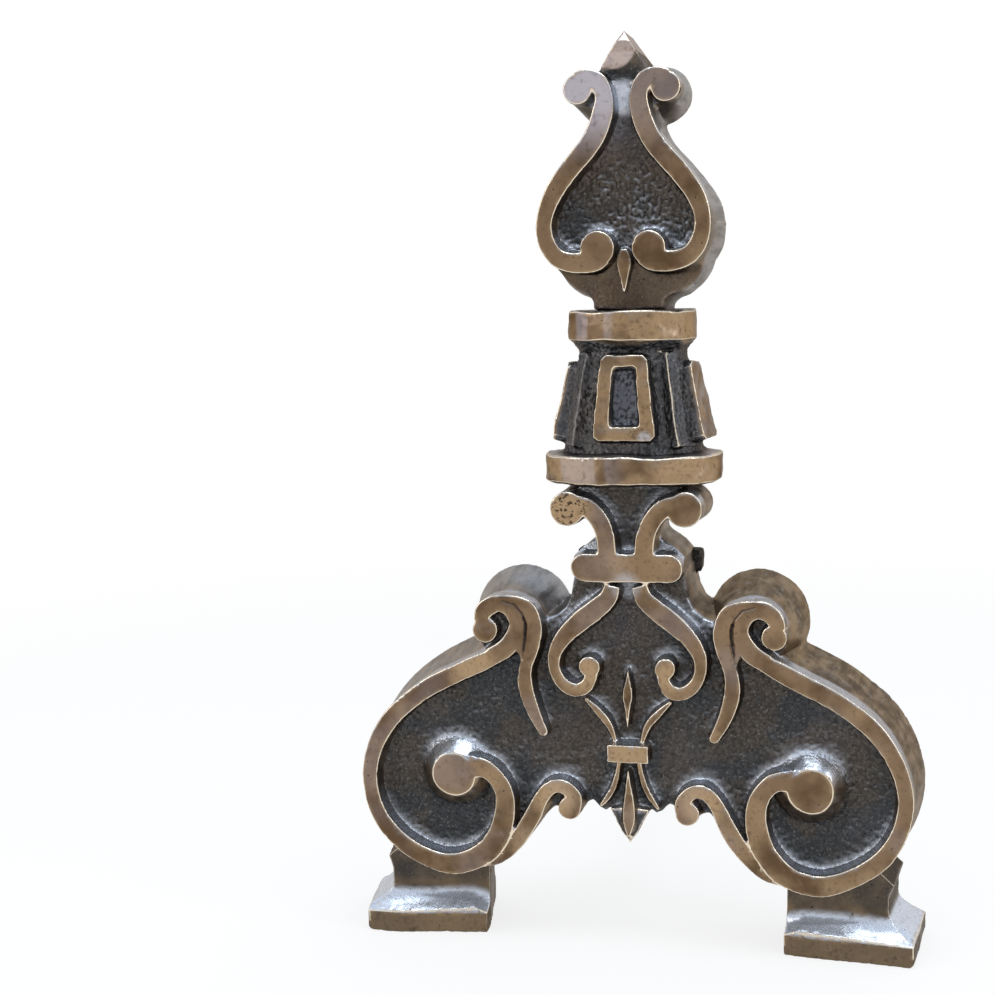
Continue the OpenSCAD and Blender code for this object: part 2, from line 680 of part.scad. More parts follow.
module finial_dowels() color(steel) placed() finial_dowel_places() dowel();

// ---- tie rod ----

rod_low = nut_room_top - washer_t - nut_h - 1.5;

module tie_rod() color(iron) placed() translate([0, axis_y, rod_low])
  cylinder(h = drum_top_z + rod_grip - rod_low, d = rod_d, $fn = round_fn);

module tie_rod_washer() color(steel) placed() translate([0, axis_y, nut_room_top - washer_t])
  washer(washer_t, washer_d, rod_d + 2 * free_gap);

// A nut as a prism of the given number of sides, bore up its axis
module nut(sides, across, high, bore) difference() {
  cylinder(h = high, d = across / cos(180 / sides), $fn = sides);
  translate([0, 0, -1]) cylinder(h = high + 2, d = bore, $fn = round_fn);
}

module tie_rod_nut() color(steel) placed() translate([0, axis_y, nut_room_top - washer_t - nut_h])
  nut(6, nut_af, nut_h, rod_d + 2 * grip_gap);

// ---- ironwork ----

module back_strap() color(iron) placed() difference() {
  union() {
    translate([-head_l / 2, back_y - head_let_in, head_z - head_h / 2])
      cube([head_l, head_let_in + strap_t, head_h]);
    translate([-strap_w / 2, back_y - eps, strap_foot_z])
      cube([strap_w, strap_t + eps, head_z + head_h / 2 - strap_foot_z]);
  }
  for (z = screw_z) through_strap(z, strap_screw_d + 2 * free_gap);
  through_strap(bar_z, spigot_d + 2 * grip_gap);
}

module through_strap(z, d) translate([0, back_y + strap_t + 1, z]) rotate([90, 0, 0])
  cylinder(h = strap_t + 2, d = d, $fn = round_fn);

screw_head_d = 1.7 * strap_screw_d;
screw_head_h = 0.55 * strap_screw_d;

module strap_screws() color(steel) placed() for (z = screw_z)
  translate([0, bar_y + strap_washer_t, z]) rotate([90, 0, 0])
    screw(strap_screw_d, strap_washer_t + strap_t + strap_screw_grip, screw_head_d, screw_head_h);

module strap_washers() color(steel) placed() for (z = screw_z)
  translate([0, bar_y + strap_washer_t, z]) rotate([90, 0, 0])
    washer(strap_washer_t, screw_head_d + 2, strap_screw_d + 2 * free_gap);

// Square bar with a threaded spigot at each end
module billet_bar() color(iron) placed() {
  translate([-bar_w / 2, bar_y, bar_z - bar_h / 2]) cube([bar_w, bar_l, bar_h]);
  translate([0, bar_y + eps, bar_z]) rotate([90, 0, 0])
    cylinder(h = strap_t + spigot_grip, d = spigot_d, $fn = round_fn);
  translate([0, stud_end, bar_z]) rotate([90, 0, 0])
    cylinder(h = stud_end - leg_y + eps, d = spigot_d, $fn = round_fn);
}

leg_top_r = bar_h / 2 + 3;
ankle_half = bar_w / 2;
toe_h = 6;

// Right half of the leg's outline, from the round top down to the crotch between the toes
leg_half = concat(round_part(0, bar_z, leg_top_r, 85, -25),
  [[ankle_half, toe_h + 26], [ankle_half + 3, toe_h + 15], [toe_w / 2, toe_h], [toe_w / 2, 0],
    [toe_w / 2 - 13, 0], [toe_w / 2 - 15, 4], [3, 14]]);

module leg_outline() polygon(concat(leg_half, [for (q = back_to_front(leg_half)) [-q.x, q.y]]));

module rear_leg() color(iron) placed() difference() {
  slab(leg_y, rear_y) leg_outline();
  translate([0, rear_y + 1, bar_z]) rotate([90, 0, 0])
    cylinder(h = leg_t + 2, d = spigot_d + 2 * free_gap, $fn = round_fn);
}

module rear_washer() color(steel) placed() translate([0, rear_y + rear_washer_t, bar_z]) rotate([90, 0, 0])
  washer(rear_washer_t, rear_nut_af * 1.25, spigot_d + 2 * free_gap);

module rear_nut() color(steel) placed() translate([0, rear_y + rear_washer_t + rear_nut_h, bar_z])
  rotate([90, 0, 0]) rotate([0, 0, 45]) nut(4, rear_nut_af, rear_nut_h, spigot_d + 2 * grip_gap);

base_casting();
left_foot();
right_foot();
foot_screws();
foot_washers();
foot_dowels();
drum_casting();
drum_dowels();
finial_casting();
finial_dowels();
tie_rod();
tie_rod_nut();
tie_rod_washer();
back_strap();
strap_screws();
strap_washers();
billet_bar();
rear_leg();
rear_washer();
rear_nut();
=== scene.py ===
# %% [markdown]
# # A cast bronze andiron
# An andiron stands at the front of an open fire and keeps the logs off the hearth.
# This one is a heavy sand casting in bronze: scrolls in relief on a sunk ground, a
# drum and a bulb above, two feet below, and black ironwork behind. The construction
# comes in at its real size, and this script gives every surface its finish.

# %% The tools and the packed model
import math

import bmesh
import bpy
import numpy as np
from mathutils import Matrix, Vector, kdtree, noise


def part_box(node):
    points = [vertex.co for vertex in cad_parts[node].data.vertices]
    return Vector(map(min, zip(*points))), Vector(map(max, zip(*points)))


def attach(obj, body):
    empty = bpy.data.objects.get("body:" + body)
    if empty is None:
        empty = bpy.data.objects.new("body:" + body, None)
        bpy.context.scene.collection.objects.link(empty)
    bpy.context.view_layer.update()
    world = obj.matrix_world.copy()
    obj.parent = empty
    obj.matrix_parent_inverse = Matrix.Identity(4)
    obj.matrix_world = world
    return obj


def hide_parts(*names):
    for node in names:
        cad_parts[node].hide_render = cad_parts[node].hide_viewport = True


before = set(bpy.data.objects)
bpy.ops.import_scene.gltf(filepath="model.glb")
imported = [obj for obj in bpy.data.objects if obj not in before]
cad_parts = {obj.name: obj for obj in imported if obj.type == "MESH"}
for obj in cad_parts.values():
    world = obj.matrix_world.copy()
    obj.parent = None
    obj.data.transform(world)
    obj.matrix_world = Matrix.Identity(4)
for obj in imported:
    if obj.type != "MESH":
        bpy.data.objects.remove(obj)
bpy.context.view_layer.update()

# %% [markdown]
# ## Where things are
# The plane of the strap faces at the front is where the casting was drawn from, so
# depths into it are counted from there, and the sunk ground lies the relief behind
# it. The lower ring of the drum stands a little before that plane, and its front is
# the lowest Y of the drum's box.

# %% The plane of the strap faces
MM = 0.001
ring_stands_out = 4.5 * MM
relief = 8.5 * MM
front_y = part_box("drum_casting")[0].y + ring_stands_out
print("strap faces at y =", round(front_y, 5))

# %% [markdown]
# ## The camera
# The camera is a short telephoto a little above the andiron, to its right, and
# tilted down. Its place was solved from points of the photograph, so it is set as a
# place, three angles and a lens.

# %% Camera
camera_place = Vector((126.6, -738.2, 292.2)) * MM + Vector((0, front_y, 0))
camera_turn = math.radians(13.95)
camera_dip = math.radians(6.79)
camera_roll = math.radians(-1.06)
camera_lens = 63.18


def add_camera():
    """The view of the photograph."""
    data = bpy.data.cameras.new("photo_camera")
    data.lens = camera_lens
    data.sensor_width = 36
    data.clip_start = 0.01
    camera = bpy.data.objects.new("photo_camera", data)
    turn = Matrix.Rotation(camera_turn, 4, "Z") @ Matrix.Rotation(math.pi / 2 - camera_dip, 4, "X")
    turn = turn @ Matrix.Rotation(camera_roll, 4, "Z")
    camera.matrix_world = Matrix.Translation(camera_place) @ turn
    bpy.context.scene.collection.objects.link(camera)
    bpy.context.scene.camera = camera


add_camera()
print("camera at", [round(v, 3) for v in camera_place])

# %% [markdown]
# ## Writing a node tree
# The world, the floor and the metals are all small trees of nodes. A tree reads best
# when it is written like a recipe, so each step adds a node, fills its sockets with
# numbers, colours or what other steps gave, and hands on what comes out. The Mix node
# has sockets for every kind of data, and those for colours are known by number.

# %% Recipe
mix_share, mix_first, mix_second, mix_result = 0, 6, 7, 2


class Recipe:
    """A node tree that starts empty and is written step by step."""

    def __init__(self, owner):
        owner.use_nodes = True
        self.tree = owner.node_tree
        self.tree.nodes.clear()

    def add(self, kind, sockets=None, **settings):
        """Adds a node, sets or links its sockets, and gives its outputs."""
        node = self.tree.nodes.new(kind)
        for name, value in settings.items():
            setattr(node, name, value)
        for socket, value in (sockets or {}).items():
            if isinstance(value, (int, float, tuple)):
                node.inputs[socket].default_value = value
            else:
                self.tree.links.new(value, node.inputs[socket])
        return node.outputs

    def maths(self, operation, first, *others):
        """One operation after another on layers or numbers."""
        for other in others:
            first = self.add("ShaderNodeMath", {0: first, 1: other}, operation=operation)[0]
        return first

    def times(self, *layers):
        """The product of layers or numbers."""
        return self.maths("MULTIPLY", *layers)

    def plus(self, *layers):
        """The sum of layers or numbers."""
        return self.maths("ADD", *layers)

    def minus(self, first, second):
        """A difference."""
        return self.maths("SUBTRACT", first, second)

    def greater(self, first, second):
        """The greater of two layers."""
        return self.maths("MAXIMUM", first, second)

    def ramp(self, value, low, high, least=0.0):
        """Least below low, 1 above high and smooth between; low may be the higher."""
        sockets = {"Value": value, "From Min": low, "From Max": high, "To Min": least}
        return self.add("ShaderNodeMapRange", sockets, interpolation_type="SMOOTHSTEP")["Result"]

    def mix(self, share, first, second):
        """One colour turning into another by a share."""
        sockets = {mix_share: share, mix_first: first, mix_second: second}
        return self.add("ShaderNodeMix", sockets, data_type="RGBA")[mix_result]

    def tint(self, colour, over, *layers):
        """A colour with another over it, as strong as the product of the layers."""
        return self.mix(self.times(*layers), colour, over)


print("steps:", [name for name in vars(Recipe) if not name.startswith("_")])

# %% [markdown]
# ## The studio
# Bronze shows what stands round it, so the studio is pale all round: white behind the
# andiron, a little dimmer and warmer behind the camera, and cool overhead. A world
# whose colour changes only with direction does this without any walls.

# %% World
bpy.context.scene.view_settings.view_transform = "Standard"
white_wall = (1.02, 1.02, 1.02, 1)
room_wall = (0.66, 0.64, 0.62, 1)
ceiling = (0.66, 0.72, 0.80, 1)
room_to_white = (-0.6, 0.5)
walls_to_ceiling = (0.25, 0.75)


def add_world():
    """Walls that turn white towards the back, under a cool ceiling."""
    world = bpy.data.worlds.new("studio")
    bpy.context.scene.world = world
    r = Recipe(world)
    way = r.add("ShaderNodeSeparateXYZ", {0: r.add("ShaderNodeTexCoord")["Generated"]})
    colour = r.mix(r.ramp(way["Y"], *room_to_white), room_wall, white_wall)
    colour = r.mix(r.ramp(way["Z"], *walls_to_ceiling), colour, ceiling)
    sky = r.add("ShaderNodeBackground", {"Color": colour})
    r.add("ShaderNodeOutputWorld", {"Surface": sky[0]})


add_world()
print("world:", bpy.context.scene.world.name)

# %% [markdown]
# ## The softboxes
# One softbox above and one on each side put the long highlights on what faces them.
# The upper one is cool, as daylight from a window is, and the left one a little warm.

# %% Softboxes
andiron_middle = Vector((0, front_y, 0.2))


def add_softbox(name, place, size, power, colour):
    """A rectangular lamp that looks at the middle of the andiron."""
    lamp = bpy.data.lights.new(name, "AREA")
    lamp.shape = "RECTANGLE"
    lamp.size, lamp.size_y = size
    lamp.energy = power
    lamp.color = colour
    box = bpy.data.objects.new(name, lamp)
    turn = (andiron_middle - Vector(place)).to_track_quat("-Z", "Y").to_matrix().to_4x4()
    box.matrix_world = Matrix.Translation(place) @ turn
    bpy.context.scene.collection.objects.link(box)


add_softbox("softbox_top", (0.15, -0.35, 1.3), (0.9, 0.5), 6.5, (0.86, 0.94, 1.0))
add_softbox("softbox_right", (1.3, -0.55, 0.8), (0.30, 0.8), 2.6, (0.94, 0.97, 1.0))
add_softbox("softbox_left", (-1.2, -0.8, 0.8), (0.35, 0.9), 3.2, (1.0, 0.96, 0.9))
print("lamps:", len(bpy.data.lights))

# %% [markdown]
# ## The floor
# A plain pale floor takes the contact shadow. What the camera and the bronze see of it
# is mostly its own white, and the rest is lit, so that only the shadow shows. Away
# from the feet the floor turns fully white and has no horizon.

# %% Floor
floor_size = 12
floor_paint = (0.9, 0.9, 0.9, 1)
floor_own_white = 0.80
white_from = 0.35
white_by = 1.1


def floor_finish():
    """Lit paint, mixed with white of its own for what the camera and the gloss see."""
    material = bpy.data.materials.new("pale_floor")
    r = Recipe(material)
    where = r.add("ShaderNodeTexCoord")["Object"]
    away = r.add("ShaderNodeVectorMath", {0: where}, operation="LENGTH")["Value"]
    own = r.ramp(away, white_from, white_by, floor_own_white)
    path = r.add("ShaderNodeLightPath")
    seen = r.greater(path["Is Camera Ray"], path["Is Glossy Ray"])
    lit = r.add("ShaderNodeBsdfDiffuse", {"Color": floor_paint})
    white = r.add("ShaderNodeEmission")
    mix = r.add("ShaderNodeMixShader", {0: r.times(seen, own), 1: lit[0], 2: white[0]})
    r.add("ShaderNodeOutputMaterial", {"Surface": mix[0]})
    return material


def add_floor():
    """A wide pale floor that isn't part of the object."""
    shape = bmesh.new()
    bmesh.ops.create_grid(shape, x_segments=1, y_segments=1, size=floor_size)
    mesh = bpy.data.meshes.new("floor")
    shape.to_mesh(mesh)
    shape.free()
    mesh.materials.append(floor_finish())
    floor = bpy.data.objects.new("floor", mesh)
    bpy.context.scene.collection.objects.link(floor)


add_floor()
print("floor is stage")

# %% [markdown]
# ## From drawn solid to casting
# A solid from CAD has razor edges and bare corners. A sand casting has neither: the
# pattern maker rounds every inside corner so that the metal fills it, and the fettler
# files and burnishes every outside edge. A voxel remesh gives the whole piece one
# even skin first, because a bevel has nothing regular to hold on to where curved
# solids cross. Then the skin is worked as a mould maker would, with wax in the corners.

# %% A skin of even quads
weld = 0.002 * MM


def merged_copy(node):
    """A copy of a CAD node whose loose triangles share their corners."""
    shape = bmesh.new()
    shape.from_mesh(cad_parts[node].data)
    bmesh.ops.remove_doubles(shape, verts=shape.verts, dist=weld)
    mesh = bpy.data.meshes.new(node + "_skin")
    shape.to_mesh(mesh)
    shape.free()
    mesh.materials.clear()
    piece = bpy.data.objects.new(node + "_skin", mesh)
    bpy.context.scene.collection.objects.link(piece)
    return piece


def keep_modifiers(piece):
    """Turns what the modifiers make into the piece's own mesh."""
    graph = bpy.context.evaluated_depsgraph_get()
    done = bpy.data.meshes.new_from_object(piece.evaluated_get(graph))
    piece.modifiers.clear()
    piece.data = done


def voxel_skin(piece, voxel):
    """One closed skin of quads about a voxel wide."""
    remesh = piece.modifiers.new("even_skin", "REMESH")
    remesh.mode = "VOXEL"
    remesh.voxel_size = voxel
    remesh.use_smooth_shade = True
    keep_modifiers(piece)


print("corners weld within", weld / MM, "mm")

# %% [markdown]
# ## Working the skin
# The steps of the finish need to know each point's neighbours and its normal, so a
# small class keeps them as arrays. It smooths, fills inside corners, dents and
# measures, and hands the points back to the mesh at the end.

# %% The skin as arrays


class Skin:
    """The points of a quad mesh, with their neighbours and faces."""

    def __init__(self, piece):
        mesh = piece.data
        self.piece = piece
        self.count = len(mesh.vertices)
        points = np.empty(self.count * 3, np.float32)
        mesh.vertices.foreach_get("co", points)
        self.points = points.reshape(-1, 3).astype(np.float64)
        ends = np.empty(len(mesh.edges) * 2, np.int32)
        mesh.edges.foreach_get("vertices", ends)
        ends = ends.reshape(-1, 2)
        here = np.concatenate([ends[:, 0], ends[:, 1]])
        order, self.starts = self.runs(here)
        self.there = np.concatenate([ends[:, 1], ends[:, 0]])[order]
        self.degree = np.bincount(here, minlength=self.count)
        corners = np.empty(len(mesh.loops), np.int32)
        mesh.loops.foreach_get("vertex_index", corners)
        self.quads = corners.reshape(-1, 4)
        self.corner_order, self.corner_starts = self.runs(corners)

    def runs(self, owners):
        """The order that brings each point's entries together, and where they start."""
        order = np.argsort(owners, kind="stable")
        return order, np.searchsorted(owners[order], np.arange(self.count))

    def mean(self, values):
        """The mean of each point's neighbours."""
        return (np.add.reduceat(values[self.there], self.starts, axis=0).T / self.degree).T

    def normals(self):
        """Unit normals at the points."""
        a, b, c, d = (self.points[self.quads[:, i]] for i in range(4))
        across = np.repeat(np.cross(c - a, d - b), 4, axis=0)[self.corner_order]
        total = np.add.reduceat(across, self.corner_starts, axis=0)
        return total / np.maximum(np.linalg.norm(total, axis=1, keepdims=True), 1e-12)

    def blur(self, values, passes):
        """Values on the points, averaged with their neighbours."""
        for _ in range(passes):
            values = (values + self.mean(values)) / 2
        return values

    def smooth(self, passes):
        """Takes the voxel steps off the skin."""
        self.points = self.blur(self.points, passes)

    def fill_corners(self, passes):
        """Raises only what lies lower than its neighbours, like wax in a corner."""
        for turn in range(passes):
            if turn % 6 == 0:
                normal = self.normals()
            rise = ((self.mean(self.points) - self.points) * normal).sum(1)
            self.points += normal * np.clip(rise, 0, None)[:, None]

    def bump(self, height, where=1.0):
        """Moves points along their normals by heights in metres."""
        self.points += self.normals() * (height * where)[:, None]

    def hollow(self, passes):
        """How far each point lies below the smoothed skin: hollows above 0, ridges below."""
        flat = self.blur(self.points, passes)
        return ((flat - self.points) * self.normals()).sum(1)

    def store(self, name, values):
        """Keeps one number per point for the materials to read."""
        layer = self.piece.data.attributes.new(name, "FLOAT", "POINT")
        layer.data.foreach_set("value", values.astype(np.float32))

    def write(self):
        """Hands the points back to the mesh."""
        self.piece.data.vertices.foreach_set("co", self.points.astype(np.float32).ravel())
        self.piece.data.update()


print("a skin can:", [name for name in vars(Skin) if not name.startswith("_")])

# %% [markdown]
# ## Smooth randomness
# Nothing on a casting is even, and nothing on it is random from point to point either.
# Smooth noise of a known size gives the lumps, and a smooth ramp turns a measure into
# a share from 0 to 1. Each call has its own seed. The noise of all three directions would
# also start from the clock, so it is seeded here, and every run is the same.

# %% Lumps and ramps
noise.seed_set(1)


def lumps(points, size, seed, octaves=2):
    """Smooth random heights from about -1 to 1, with lumps of a size in metres."""
    places = (points / size + seed * 17.3).tolist()
    if octaves == 1:
        return np.array([noise.noise(place) for place in places])
    return np.array([noise.fractal(place, 1.0, 2.0, octaves) for place in places])


def wander(points, size, seed):
    """Smooth random shifts in all three directions, up to about 1."""
    places = (points / size + seed * 11.9).tolist()
    return np.array([noise.noise_vector(place) for place in places])


def ramp(values, low, high):
    """0 below low, 1 above high and smooth between, for high above or below low."""
    t = np.clip((values - low) / (high - low), 0, 1)
    return t * t * (3 - 2 * t)


print("half way up a ramp:", ramp(1.5, 1, 2))

# %% [markdown]
# ## Arrises
# What makes this bronze read as bronze is the thin bright line along each arris: worn
# metal where the patina has been rubbed away, and a painted highlight where the rounded
# arris would catch the light. Points every third of a millimetre along the sharp
# edges of the solid are kept, each with the way into the two faces that meet there. A
# point of the skin then knows on which side of the nearest arris it lies and how far
# off. That number passes evenly through zero at the arris, so a line drawn from it
# stays crisp however wide the faces of the mesh are.

# %% Arris points
sharp_angle = math.radians(38)
arris_step = 0.35 * MM
sliver = 1e-9


def ways_in(edge, start, along):
    """From an edge, the way into its front face and the way into the other."""
    ways = []
    for face in sorted(edge.link_faces, key=lambda face: face.normal.y):
        way = along.cross(face.normal)
        if way.dot(face.calc_center_median() - start) < 0:
            way.negate()
        ways.append(way)
    return ways


def arris_points(piece):
    """Rows of a place and the two ways in, along the sharp outer edges."""
    shape = bmesh.new()
    shape.from_mesh(piece.data)
    rows = []
    for edge in shape.edges:
        if len(edge.link_faces) != 2 or edge.calc_face_angle_signed(0) < sharp_angle:
            continue
        if min(face.calc_area() for face in edge.link_faces) < sliver:
            continue
        start, end = (corner.co for corner in edge.verts)
        front, other = ways_in(edge, start, (end - start).normalized())
        steps = max(1, math.ceil((end - start).length / arris_step))
        for step in range(steps):
            rows.append((*start.lerp(end, (step + 0.5) / steps), *front, *other))
    shape.free()
    return rows


def measure_arrises(points, rows):
    """For each point, its side of the nearest arris, its distance, and the place on that arris."""
    tree = kdtree.KDTree(len(rows))
    for number, row in enumerate(rows):
        tree.insert(row[:3], number)
    tree.balance()
    nearest = rows[[tree.find(point)[1] for point in points.tolist()]]
    place, front, other = nearest[:, :3], nearest[:, 3:6], nearest[:, 6:]
    away = points - place
    return (away * (front - other)).sum(1) / MM, np.linalg.norm(away, axis=1) / MM, place


print("arris points every", arris_step / MM, "mm")

# %% [markdown]
# ## The surface of a casting
# A hand-cut pattern wanders a little from its drawing. The metal then has broad
# swellings, flat facets where it was filed, nicks along its arrises, and the grain of
# the sand and the marks of the punch on its ground. Noise displaces the skin for
# these, and not only the shading, so that the outline shows them too.

# %% Roughening
# All in millimetres: how far apart, and how high where that is always the same
wandering, wandered = 19, 0.50
swelling, swollen = 5, 0.10
facets_apart = 10
nicks_apart, nicked = 2.6, 0.22
sand, sand_high = 1.4, 0.14
punch_marks, punched_patches = 1.7, 10


def roughen(skin, near, ground, seed, facets, hammered):
    """Wandering outlines, dents, nicks, and a hammered, grainy ground."""
    start = skin.points.copy()
    skin.points += wander(start, wandering * MM, seed) * wandered * MM
    skin.bump(lumps(start, swelling * MM, seed + 1) * swollen * MM)
    skin.bump(-np.abs(lumps(start, facets_apart * MM, seed + 3, 1)) * facets, 1 - ground)
    nicks = ramp(lumps(start, nicks_apart * MM, seed + 4, 1), 0.28, 0.5) * ramp(near, 1.6, 0.3)
    skin.bump(nicks * -nicked * MM)
    skin.bump(lumps(start, sand * MM, seed + 2, 1) * sand_high * MM, ground)
    patches = 0.45 + 0.55 * ramp(lumps(start, punched_patches * MM, seed + 6, 1), -0.2, 0.3)
    punched = lumps(start * (1.2, 1, 0.8), punch_marks * MM, seed + 5) * hammered * patches
    skin.bump(punched, ramp(ground, 0.80, 0.94))


print("outlines wander by up to", wandered, "mm")

# %% [markdown]
# ## Thinning
# The even skin has more faces than the triangle limit below. Decimate takes them away where
# the skin is flat, but the bright line needs its measure to pass evenly across the flat
# faces beside an arris. So every fourth point of those faces is kept.

# %% Thinning and taking the solid's place
triangle_limit = 190000


def thin_out(piece, kept=None):
    """Keeps a piece under the limit of triangles, and keeps the points asked for."""
    triangles = sum(len(face.vertices) - 2 for face in piece.data.polygons)
    if triangles > triangle_limit:
        fewer = piece.modifiers.new("fewer", "DECIMATE")
        fewer.ratio = triangle_limit / triangles
        if kept is not None:
            others = piece.vertex_groups.new(name="others")
            others.add(np.flatnonzero(~kept).tolist(), 1.0, "REPLACE")
            fewer.vertex_group = others.name
        keep_modifiers(piece)
        piece.vertex_groups.clear()
    return triangles


def take_place(piece, node):
    """Puts a finished piece where its solid was."""
    piece.data.shade_smooth()
    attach(piece, "root")
    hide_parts(node)


print("at most", triangle_limit, "triangles in a piece")

# %% [markdown]
# ## The steps that every casting goes through
# Each casting has a function that marks its points: where they are sunk ground, worked
# face, rubbed gold, cool grey (in places a painted reflection), pitted, painted with a
# sheen, and painted with a highlight. It has another that says how bright each arris is,
# as wear and as a painted highlight, and may have one that bends it before it is
# roughened. The points are held inside the box of the solid, so nothing grows.

# %% Casting
casting_voxel = 0.6 * MM
corner_passes = 50
facing_front = (0.70, 0.92)
kept_from, kept_to = 0.9, 5
mark_names = ("ground", "face", "gold", "cool", "pitted", "shine", "bare")


def skin_marks(skin, mark):
    """The marks of a casting. What mark leaves out is 0, or measured here."""
    marks = dict.fromkeys(mark_names, np.zeros(skin.count))
    marks["face"] = ramp(-skin.normals()[:, 1], *facing_front)
    marks["hollow"] = skin.hollow(90) / MM
    marks.update(mark(skin.points, skin.normals()))
    marks["hollow"] = marks["hollow"] + marks.pop("darker", 0)
    marks["ground"] = skin.blur(marks["ground"], 2)
    return marks


def add_casting(node, seed, mark, worn, warp=None, drawn=(), facets=0.15 * MM,
                hammered=0.14 * MM):
    """A casting made from its solid. Rows in drawn are arrises that the solid lacks."""
    piece = merged_copy(node)
    low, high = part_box(node)
    rows = np.array([*arris_points(piece), *drawn])
    voxel_skin(piece, casting_voxel)
    skin = Skin(piece)
    skin.smooth(1)
    skin.fill_corners(corner_passes)
    side, near, place = measure_arrises(skin.points, rows)
    marks = skin_marks(skin, mark)
    if warp:
        warp(skin.points)
    roughen(skin, near, marks["ground"], seed, facets, hammered)
    skin.points = np.clip(skin.points, low, high)
    marks.update(side=side, near=near, worn=skin.blur(worn(place), 1), crest=-skin.hollow(8) / MM)
    for name, values in marks.items():
        skin.store(name, values)
    skin.write()
    every_fourth = np.arange(skin.count) % 4 == 0
    beside = (near > kept_from) & (near < kept_to)
    triangles = thin_out(piece, every_fourth & beside & (marks["face"] > 0.5))
    take_place(piece, node)
    print(piece.name, "arris points:", len(rows), "triangles before thinning:", triangles)
    return piece


print("marks:", ", ".join(mark_names))

# %% [markdown]
# ## Marks
# The same few shapes mark every casting: the depth behind the strap faces, smooth
# random patches, round spots on the front, and the distance from a drawn line.

# %% Helpers for marks


def depth_of(points):
    """Depth behind the strap faces."""
    return points[:, 1] - front_y


def most(*layers):
    """The greatest of several layers of marks, point by point."""
    return np.maximum.reduce(layers)


def front_ground(points, normals):
    """Points of the sunk ground behind the straps."""
    depth = depth_of(points)
    deep = ramp(depth, relief - 3.2 * MM, relief - 1.5 * MM)
    shallow = ramp(depth, relief + 4 * MM, relief + 2 * MM)
    return deep * shallow * ramp(-normals[:, 1], 0.3, 0.7)


def near_relief(points):
    """1 as far back as the ground, and 0 behind it."""
    return ramp(depth_of(points), relief + 3 * MM, relief + 0.5 * MM)


def rubbed(points, seed, size=24 * MM):
    """Smooth patches, 0 to 1."""
    return ramp(lumps(points, size, seed), -0.05, 0.5)


def spot(points, x, z, reach):
    """1 at a place on the front, falling to 0 at a distance, all in millimetres."""
    away = np.hypot(points[:, 0] - x * MM, points[:, 2] - z * MM)
    return ramp(away, reach * MM, reach * 0.4 * MM)


def from_line(points, line):
    """Millimetres from a drawn line on the front, which is the same on both sides."""
    flat = np.stack((np.abs(points[:, 0]), points[:, 2]), 1) / MM
    nearest = np.full(len(flat), np.inf)
    for start, end in zip(line, line[1:]):
        way = np.subtract(end, start)
        share = np.clip((flat - start) @ way / (way @ way), 0, 1)
        away = flat - start - share[:, None] * way
        nearest = np.minimum(nearest, np.linalg.norm(away, axis=1))
    return nearest


def front_wear_and_glint(place):
    """Arrises shine on the relief, not at the depth of the ground, and a little far behind it."""
    depth = depth_of(place)
    straps = ramp(depth, relief - 1 * MM, relief - 2.5 * MM)
    return straps + 0.25 * ramp(depth, relief + 4 * MM, relief + 8 * MM)


print("ground lies", relief / MM, "mm behind the straps")

# %% [markdown]
# ## The base: lines that the solid lacks
# On the real casting a line is chased between the two straps of each volute, and the
# small curls of the arch start a step lower than the C-scrolls that they leave. Both
# are a millimetre deep or less, so they are pressed into the skin here, and the edge of
# the step gets arris points of its own.

# %% Chased line and the root of the small curls
# All in millimetres, on the front
chased_line = ((55.5, 155.5), (50, 154), (46.6, 150), (45.2, 145), (45.4, 140), (46.4, 134), (46.8, 130))
chased_deep = 0.65
root_centre = (84.3, 61.4)
root_radius = 33.3
root_place = (57.5, 40.5)
root_deep = 1.1
root_arc = np.arange(203, 243, 0.6)


def past_root(points):
    """Millimetres outside the C-scroll where the small curl leaves it."""
    x, z = np.abs(points[:, 0]) / MM, points[:, 2] / MM
    return np.hypot(x - root_centre[0], z - root_centre[1]) - root_radius


def root_arris():
    """Arris points along the outside of both C-scrolls, across the roots of the small curls."""
    rows = []
    for turn in np.radians(root_arc):
        for way in (-1, 1):
            inward = (-way * math.cos(turn), 0, -math.sin(turn))
            x = way * (root_centre[0] + root_radius * math.cos(turn)) * MM
            z = (root_centre[1] + root_radius * math.sin(turn)) * MM
            rows.append((x, front_y, z, *inward, 0, 1, 0))
    return rows


def chase(points):
    """Cuts the line between the two straps of a volute, and lets the small curl in at its root."""
    front = ramp(depth_of(points), 3 * MM, 1.5 * MM)
    cut = chased_deep * MM * ramp(from_line(points, chased_line), 1.1, 0.3)
    away = np.hypot(np.abs(points[:, 0]) - root_place[0] * MM, points[:, 2] - root_place[1] * MM)
    sunk = root_deep * MM * ramp(past_root(points), 0.0, 0.7) * ramp(away, 14 * MM, 7 * MM)
    points[:, 1] += front * np.maximum(cut, sunk)


print("root arris points:", len(root_arris()))

# %% [markdown]
# ## The base: marks
# The ground of the base is all that looks to the front and lies near the full depth
# of the relief, and the pendant below the arch. Gold shows in patches where hands and
# cloths have reached, and most of all on the curls, of which the upper left one is
# pitted.

# %% Base casting
# Spots are x, z and reach, in millimetres
gold_curls = (
    (-27, 197, 17), (-33, 68, 13), (33, 68, 13), (0, 88, 15),
    (-21, 125, 14), (21, 125, 12), (-70, 128, 14),
)
gold_volute = (69, 134, 13)
brown_curls = ((28, 196, 11), (60, 122, 16), (95, 60, 26), (-79, 76, 13), (79, 76, 13))
pitted_curl = (-27, 197, 14)
collar_highlight = (0, 163, 8)
dull_joints = ((59, 38, 10), (70.5, 84, 5))
pendant_top = 62
pendant_half = 10


def pendant_ground(points):
    """The sunk ground of the pendant."""
    depth = depth_of(points)
    pendant = ramp(depth, 3.4 * MM, 4.2 * MM) * (points[:, 2] < pendant_top * MM)
    return pendant * (np.abs(points[:, 0]) < pendant_half * MM) * ramp(depth, 16 * MM, 12 * MM)


